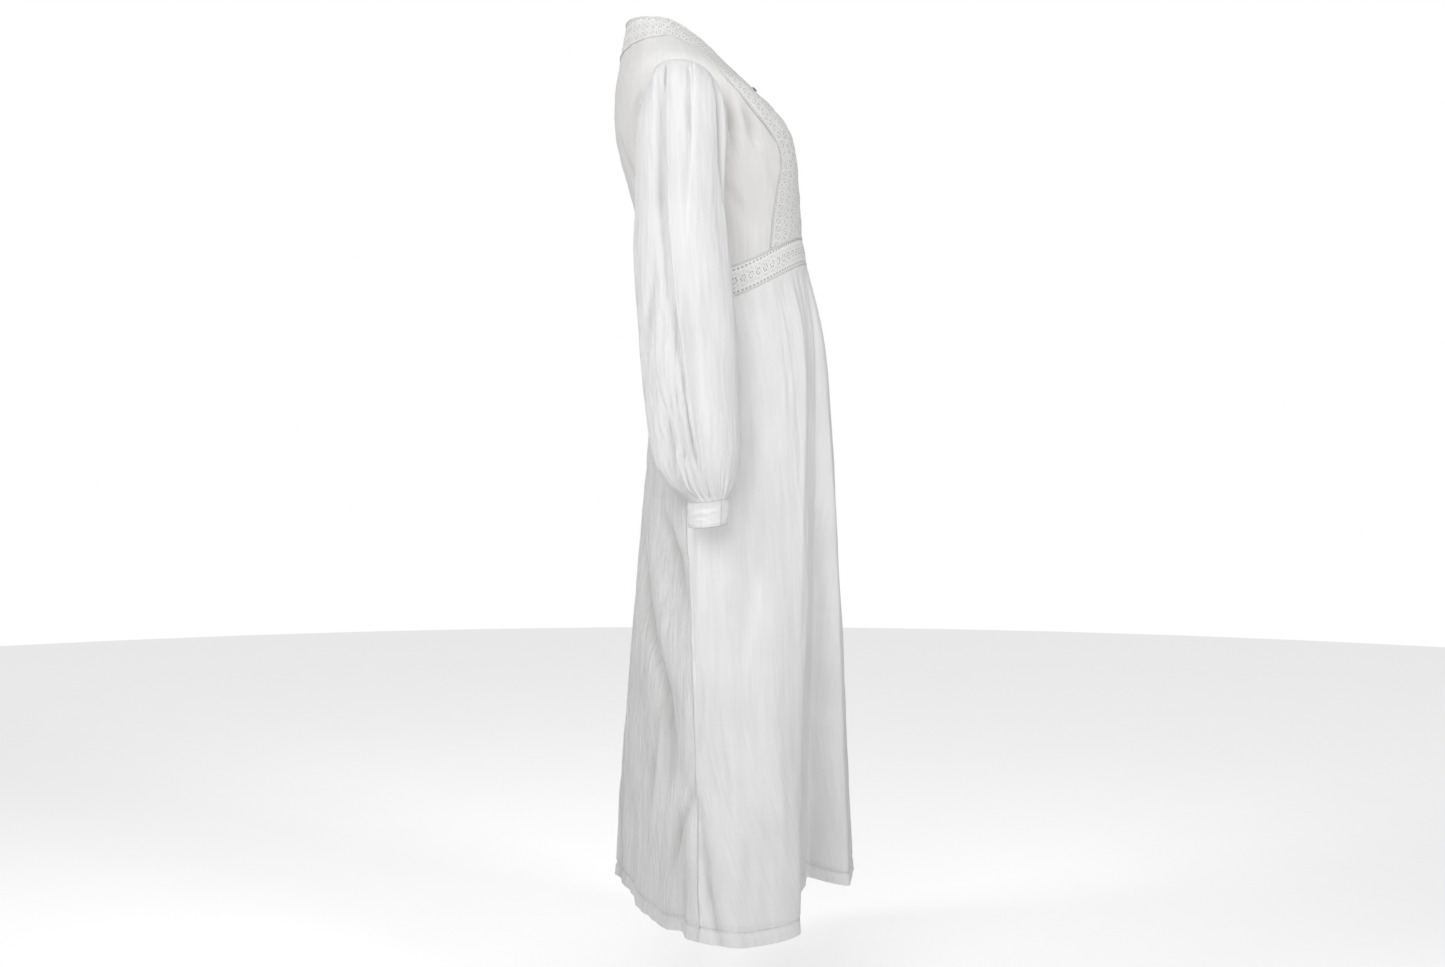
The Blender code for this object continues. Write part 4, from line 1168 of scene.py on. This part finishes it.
def make_skirt(finish, crinkled):
    panels = (
        ("front", -SIDE_SEAM, SIDE_SEAM, 262, (1.07, 0.87), 0.61),
        ("back", SIDE_SEAM, 360 - SIDE_SEAM, 190, (0.73, 0.85), 0.50),
    )
    for name, first, last, columns, size, top_cut in panels:
        stations = even_stations(first, last, columns, 0.8)
        rise = np.linspace(0, 1, 181)
        station, rise = np.meshgrid(stations, rise)
        points = skirt_point(station, 1 - rise)
        places = measured(points)
        if name == "front":
            piece_finish, places = finish, crest_centred(places, stations)
        else:
            piece_finish, places = crinkled, fanned(places)
        hollow = painted_shade_amount(skirt_creases(follow_seam(station, 1 - rise), 1 - rise))
        piece = cloth_piece(f"skirt_{name}", [points], [places], piece_finish, CLOTH_WALL, hollow)


def make_sleeves(finish):
    for side, seed, shift in (("left", 61, 0.015), ("right", 81, 0.0)):
        points, depth = sleeve_grid(140, 256, seed, shift)
        if side == "right":
            points, depth = mirrored(points), depth[:, ::-1]
        places = centred(measured(points))
        hollow = painted_shade_amount(depth)
        piece = cloth_piece(f"sleeve_{side}", [points], [places], finish, CLOTH_WALL, hollow)


def cuff_points(rows, columns, lift=0.0):
    """The left cuff: a band that laps over its own start, softly creased round the wrist."""
    end = SLEEVE_RINGS[-1]
    run = np.linspace(0, 1 + CUFF_OVERLAP, columns + 1)
    turn, height = np.meshgrid(CUFF_OPENING + run, np.linspace(0, 1, rows + 1))
    lapped = CUFF_LIFT * smooth_step((run - 1 + CUFF_OVERLAP) / CUFF_OVERLAP)
    size = 1 + (CUFF_NARROWING - 1) * height
    inside = np.sin(np.pi * height) ** 0.5
    crease = 0.0010 * noise(turn * 5, height * 6.0, 91) + 0.0006 * noise(turn * 20, height * 9.0, 92)
    proud = lapped + lift - crease * inside
    a = 2 * np.pi * turn
    points = np.stack([
        end.centre_x + (end.half_x * size + proud) * np.cos(a),
        end.centre_y - (end.half_y * size + proud) * np.sin(a),
        end.z - SEAM_GAP - CUFF_HEIGHT * height,
    ], axis=-1)
    cuff_tilt(points, turn, end.centre_y)
    return points


def make_cuffs(finish, thread):
    left = cuff_points(20, 180)
    for side, points in (("left", left), ("right", mirrored(left))):
        piece = cloth_piece(f"cuff_{side}", [points], [measured(points)], finish, CLOTH_WALL)
        edges = []
        outward = points - points.mean(axis=(0, 1))
        outward[..., 2] = 0
        outward = unit(outward)
        for row in (0, -1):
            edges.append(tube(points[row] - outward[row] * 0.0002, 0.0009, outward[row], 0.8, 6))
        lap_end = -1 if side == "left" else 0
        up = outward[:, lap_end]
        edges.append(tube(points[:, lap_end] - up * 0.0002, 0.0008, up, 0.8, 6))
        for row in (2, -3):
            edges.extend(stitches(points[row] + outward[row] * 0.0001, outward[row], 0.0024, 0.0008, 0.00028))
        trim_piece(f"cuff_edges_{side}", edges, thread)


def make_seams(thread, cord):
    """Raised cords round the lace, and the fine seams that join the cloth."""
    outer, inner = bib_outline(60, 200)
    round_neck = np.linspace(-180, 180, 241)
    down = np.linspace(NECK_LEVEL, 0.0, 120)
    lace_cords = []
    for sign in (1, -1):
        lace_cords.append(tube(*spread(body_line(sign * outer[0], outer[1], 0.0005), 0.0016), 0.65))
        line, up = body_line(np.zeros(120), down, 0.0003)
        line = line + np.array([sign * 0.0013, 0.0, 0.0])
        lace_cords.append(tube(line, 0.0011, up, 0.8))
    line, up = body_line(round_neck, np.full(241, NECK_LEVEL))
    lace_cords.append(tube(line, 0.0015, up, 0.9))
    trim_piece("lace_cords", lace_cords, cord)

    band_edges = []
    for first, last in ((-SIDE_SEAM, SIDE_SEAM), (SIDE_SEAM, 360 - SIDE_SEAM)):
        station = even_stations(first, last, 260, 0.0)
        for rise in (0.0, 1.0):
            heights = np.full(station.shape, rise)
            line = waistband_point(station, heights)
            up = waistband_normals(station, heights)
            band_edges.append(tube(line + up * 0.0002, 0.0015, up, 0.45))
    trim_piece("waistband_cords", band_edges, cord)

    seams = []
    for sign in (1, -1):
        drops = np.linspace(0.0, 0.999, 260)
        angle = sign * column(SKIRT_RINGS, "seam", drops)
        seams.append(tube(*spread(skirt_line(angle, drops, -0.0002), 0.0009), 0.5, 6))
        levels = np.linspace(0.01, 1.0, 60)
        seams.append(tube(*spread(body_line(sign * np.full(60, SIDE_SEAM), levels, 0.0001), 0.0011), 0.5, 6))
        turn = np.linspace(0, 1, 161)
        hole, level = armhole(turn)
        seams.append(tube(*spread(body_line(sign * hole, level, 0.0), 0.0007), 0.5, 6))
    trim_piece("cloth_seams", seams, thread)

    drop = 1 - HEM_STITCHING / SKIRT_LENGTH
    around = np.linspace(-180, 180, 1200)
    line, up = skirt_line(around, np.full(1200, drop), 0.0001)
    trim_piece("hem_stitches", stitches(line, up, 0.0030, 0.0009, 0.00035), thread)


def spread(line_and_normals, radius):
    line, up = line_and_normals
    return line, radius, up


def make_button(finish, thread):
    """A small horn button with a raised rim, a dished face, two thread bars and a thread loop."""
    at, above, below = ring_point(BODY_RINGS, np.zeros(3), BUTTON_LEVEL + np.array([0.0, 0.05, -0.05]))
    slope = above - below
    normal = unit(np.array([0.0, -slope[2], slope[1]]))
    up = unit(slope)
    side = np.cross(up, normal)
    r = BUTTON_RADIUS
    t = BUTTON_THICKNESS
    profile = [
        (0.02, 0.0), (0.80, 0.0), (0.94, 0.12), (1.0, 0.36), (1.0, 0.62), (0.95, 0.86), (0.86, 0.98),
        (0.78, 0.97), (0.70, 0.84), (0.58, 0.72), (0.30, 0.68), (0.02, 0.67),
    ]
    turn = np.arange(BUTTON_SIDES) / BUTTON_SIDES * 2 * np.pi
    radii = np.array([p[0] for p in profile]) * r
    heights = np.array([p[1] for p in profile]) * t + SEAM_GAP
    around = np.cos(turn)[:, None] * side + np.sin(turn)[:, None] * up
    points = at + radii[:, None, None] * around[None] + heights[:, None, None] * normal
    faces = tube_faces(len(profile), BUTTON_SIDES)
    places = radii[:, None, None] * np.stack([np.cos(turn), np.sin(turn)], axis=-1)
    piece = object_of("neck_button_horn", points.reshape(-1, 3), faces, places.reshape(-1, 2), finish)
    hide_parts("neck_button")
    bars = []
    for offset in (-0.22, 0.22):
        reach = np.linspace(-0.30, 0.30, 9)
        arch = 0.70 + 0.16 * np.cos(reach / 0.30 * np.pi / 2)
        line = at + (offset * r) * up + (reach * r)[:, None] * side + (arch * t)[:, None] * normal
        bars.append(tube(line, 0.00035, normal, 1.0, 6))
    loop = np.linspace(0, np.pi, 25)
    line = at + side * (np.cos(loop) * r * 0.9)[:, None] + up * (r * 0.4 + np.sin(loop) * r * 1.3)[:, None]
    line = line + normal * 0.0009
    bars.append(tube(line, 0.0005, normal, 1.0, 6))
    trim_piece("button_thread", bars, thread)


def hang(lamp):
    data = bpy.data.lights.new(lamp.name, "AREA")
    data.shape = "SQUARE"
    data.size = lamp.size
    data.energy = lamp.power
    data.spread = math.radians(lamp.spread)
    hung = bpy.data.objects.new(lamp.name, data)
    hung.location = lamp.place
    hung.rotation_euler = (Vector(lamp.aim) - Vector(lamp.place)).to_track_quat("-Z", "Y").to_euler()
    bpy.context.scene.collection.objects.link(hung)


def make_studio():
    scene = bpy.context.scene
    scene.view_settings.view_transform = "Standard"
    world = bpy.data.worlds.new("studio")
    world.use_nodes = True
    scene.world = world
    tree = world.node_tree
    tree.nodes["Background"].inputs["Color"].default_value = (1.0, 1.0, 1.0, 1.0)
    rays = tree.nodes.new("ShaderNodeLightPath")
    seen = Wire(tree, rays.outputs["Is Camera Ray"]) * (1.0 - FILL) + FILL
    tree.links.new(seen.socket, tree.nodes["Background"].inputs["Strength"])
    for lamp in LAMPS:
        hang(lamp)
    turn = np.arange(FLOOR_SIDES) / FLOOR_SIDES * 2 * np.pi
    radii = np.linspace(0.0, FLOOR_RADIUS, 9)[1:]
    ring = np.stack([np.cos(turn), np.sin(turn), np.zeros(FLOOR_SIDES)], axis=-1)
    points = radii[:, None, None] * ring[None] + np.array([0.0, 0.0, FLOOR_Z])
    vertices = np.concatenate([points.reshape(-1, 3), [[0.0, 0.0, FLOOR_Z]]])
    faces = grid_faces(len(radii) - 1, FLOOR_SIDES, True)[:, ::-1].tolist()
    faces.extend([[i, (i + 1) % FLOOR_SIDES, len(vertices) - 1] for i in range(FLOOR_SIDES)])
    mesh = bpy.data.meshes.new("floor")
    mesh.from_pydata(vertices.tolist(), [], faces)
    layer = mesh.uv_layers.new(name="cloth")
    corners = np.zeros(len(mesh.loops), dtype=np.int32)
    mesh.loops.foreach_get("vertex_index", corners)
    layer.data.foreach_set("uv", vertices[corners][:, :2].astype(np.float32).ravel())
    mesh.materials.append(floor_finish("floor_paint"))
    floor = bpy.data.objects.new("floor", mesh)
    scene.collection.objects.link(floor)


def make_camera():
    """Level and square to the wearer's right side, as the photograph is."""
    data = bpy.data.cameras.new("camera")
    data.sensor_width = SENSOR_WIDTH
    data.lens = PHOTO_FOCAL / PHOTO_WIDTH * SENSOR_WIDTH
    camera = bpy.data.objects.new("camera", data)
    camera.location = CAMERA_PLACE
    camera.rotation_euler = (math.radians(90), 0.0, math.radians(-90))
    bpy.context.scene.collection.objects.link(camera)
    bpy.context.scene.camera = camera


make_camera()
make_studio()
gauze = gauze_finish("cotton_gauze", (0.55, 0.55, 0.545), (0.80, 0.80, 0.805), 0.0010)
crinkled_gauze = gauze_finish("crinkled_gauze", (0.52, 0.515, 0.51), (0.82, 0.82, 0.82), 0.0048)
bodice_gauze = gauze_finish("bodice_gauze", (0.53, 0.52, 0.50), (0.785, 0.78, 0.765), 0.0006)
cuff_gauze = gauze_finish("cuff_gauze", (0.62, 0.62, 0.615), (0.89, 0.89, 0.89), 0.0012)
bib_lace = lace_finish("bib_lace", 0.0135, 0.0178, 0.0104, 0.60, BIB_LACE_EDGES)
band_lace = lace_finish("waistband_lace", 0.0190, 0.0165, 0.0128, 0.70, BAND_LACE_EDGES)
cord_thread = thread_finish("cotton_cord", (0.82, 0.815, 0.81), (0.93, 0.925, 0.92))
sewing_thread = thread_finish("sewing_thread", (0.72, 0.72, 0.72), (0.82, 0.82, 0.82))
make_bodice(bodice_gauze)
make_bib(bib_lace)
make_waistband(band_lace)
make_skirt(gauze, crinkled_gauze)
make_sleeves(gauze)
make_cuffs(cuff_gauze, sewing_thread)
make_seams(sewing_thread, cord_thread)
make_button(horn_finish("button_horn"), sewing_thread)
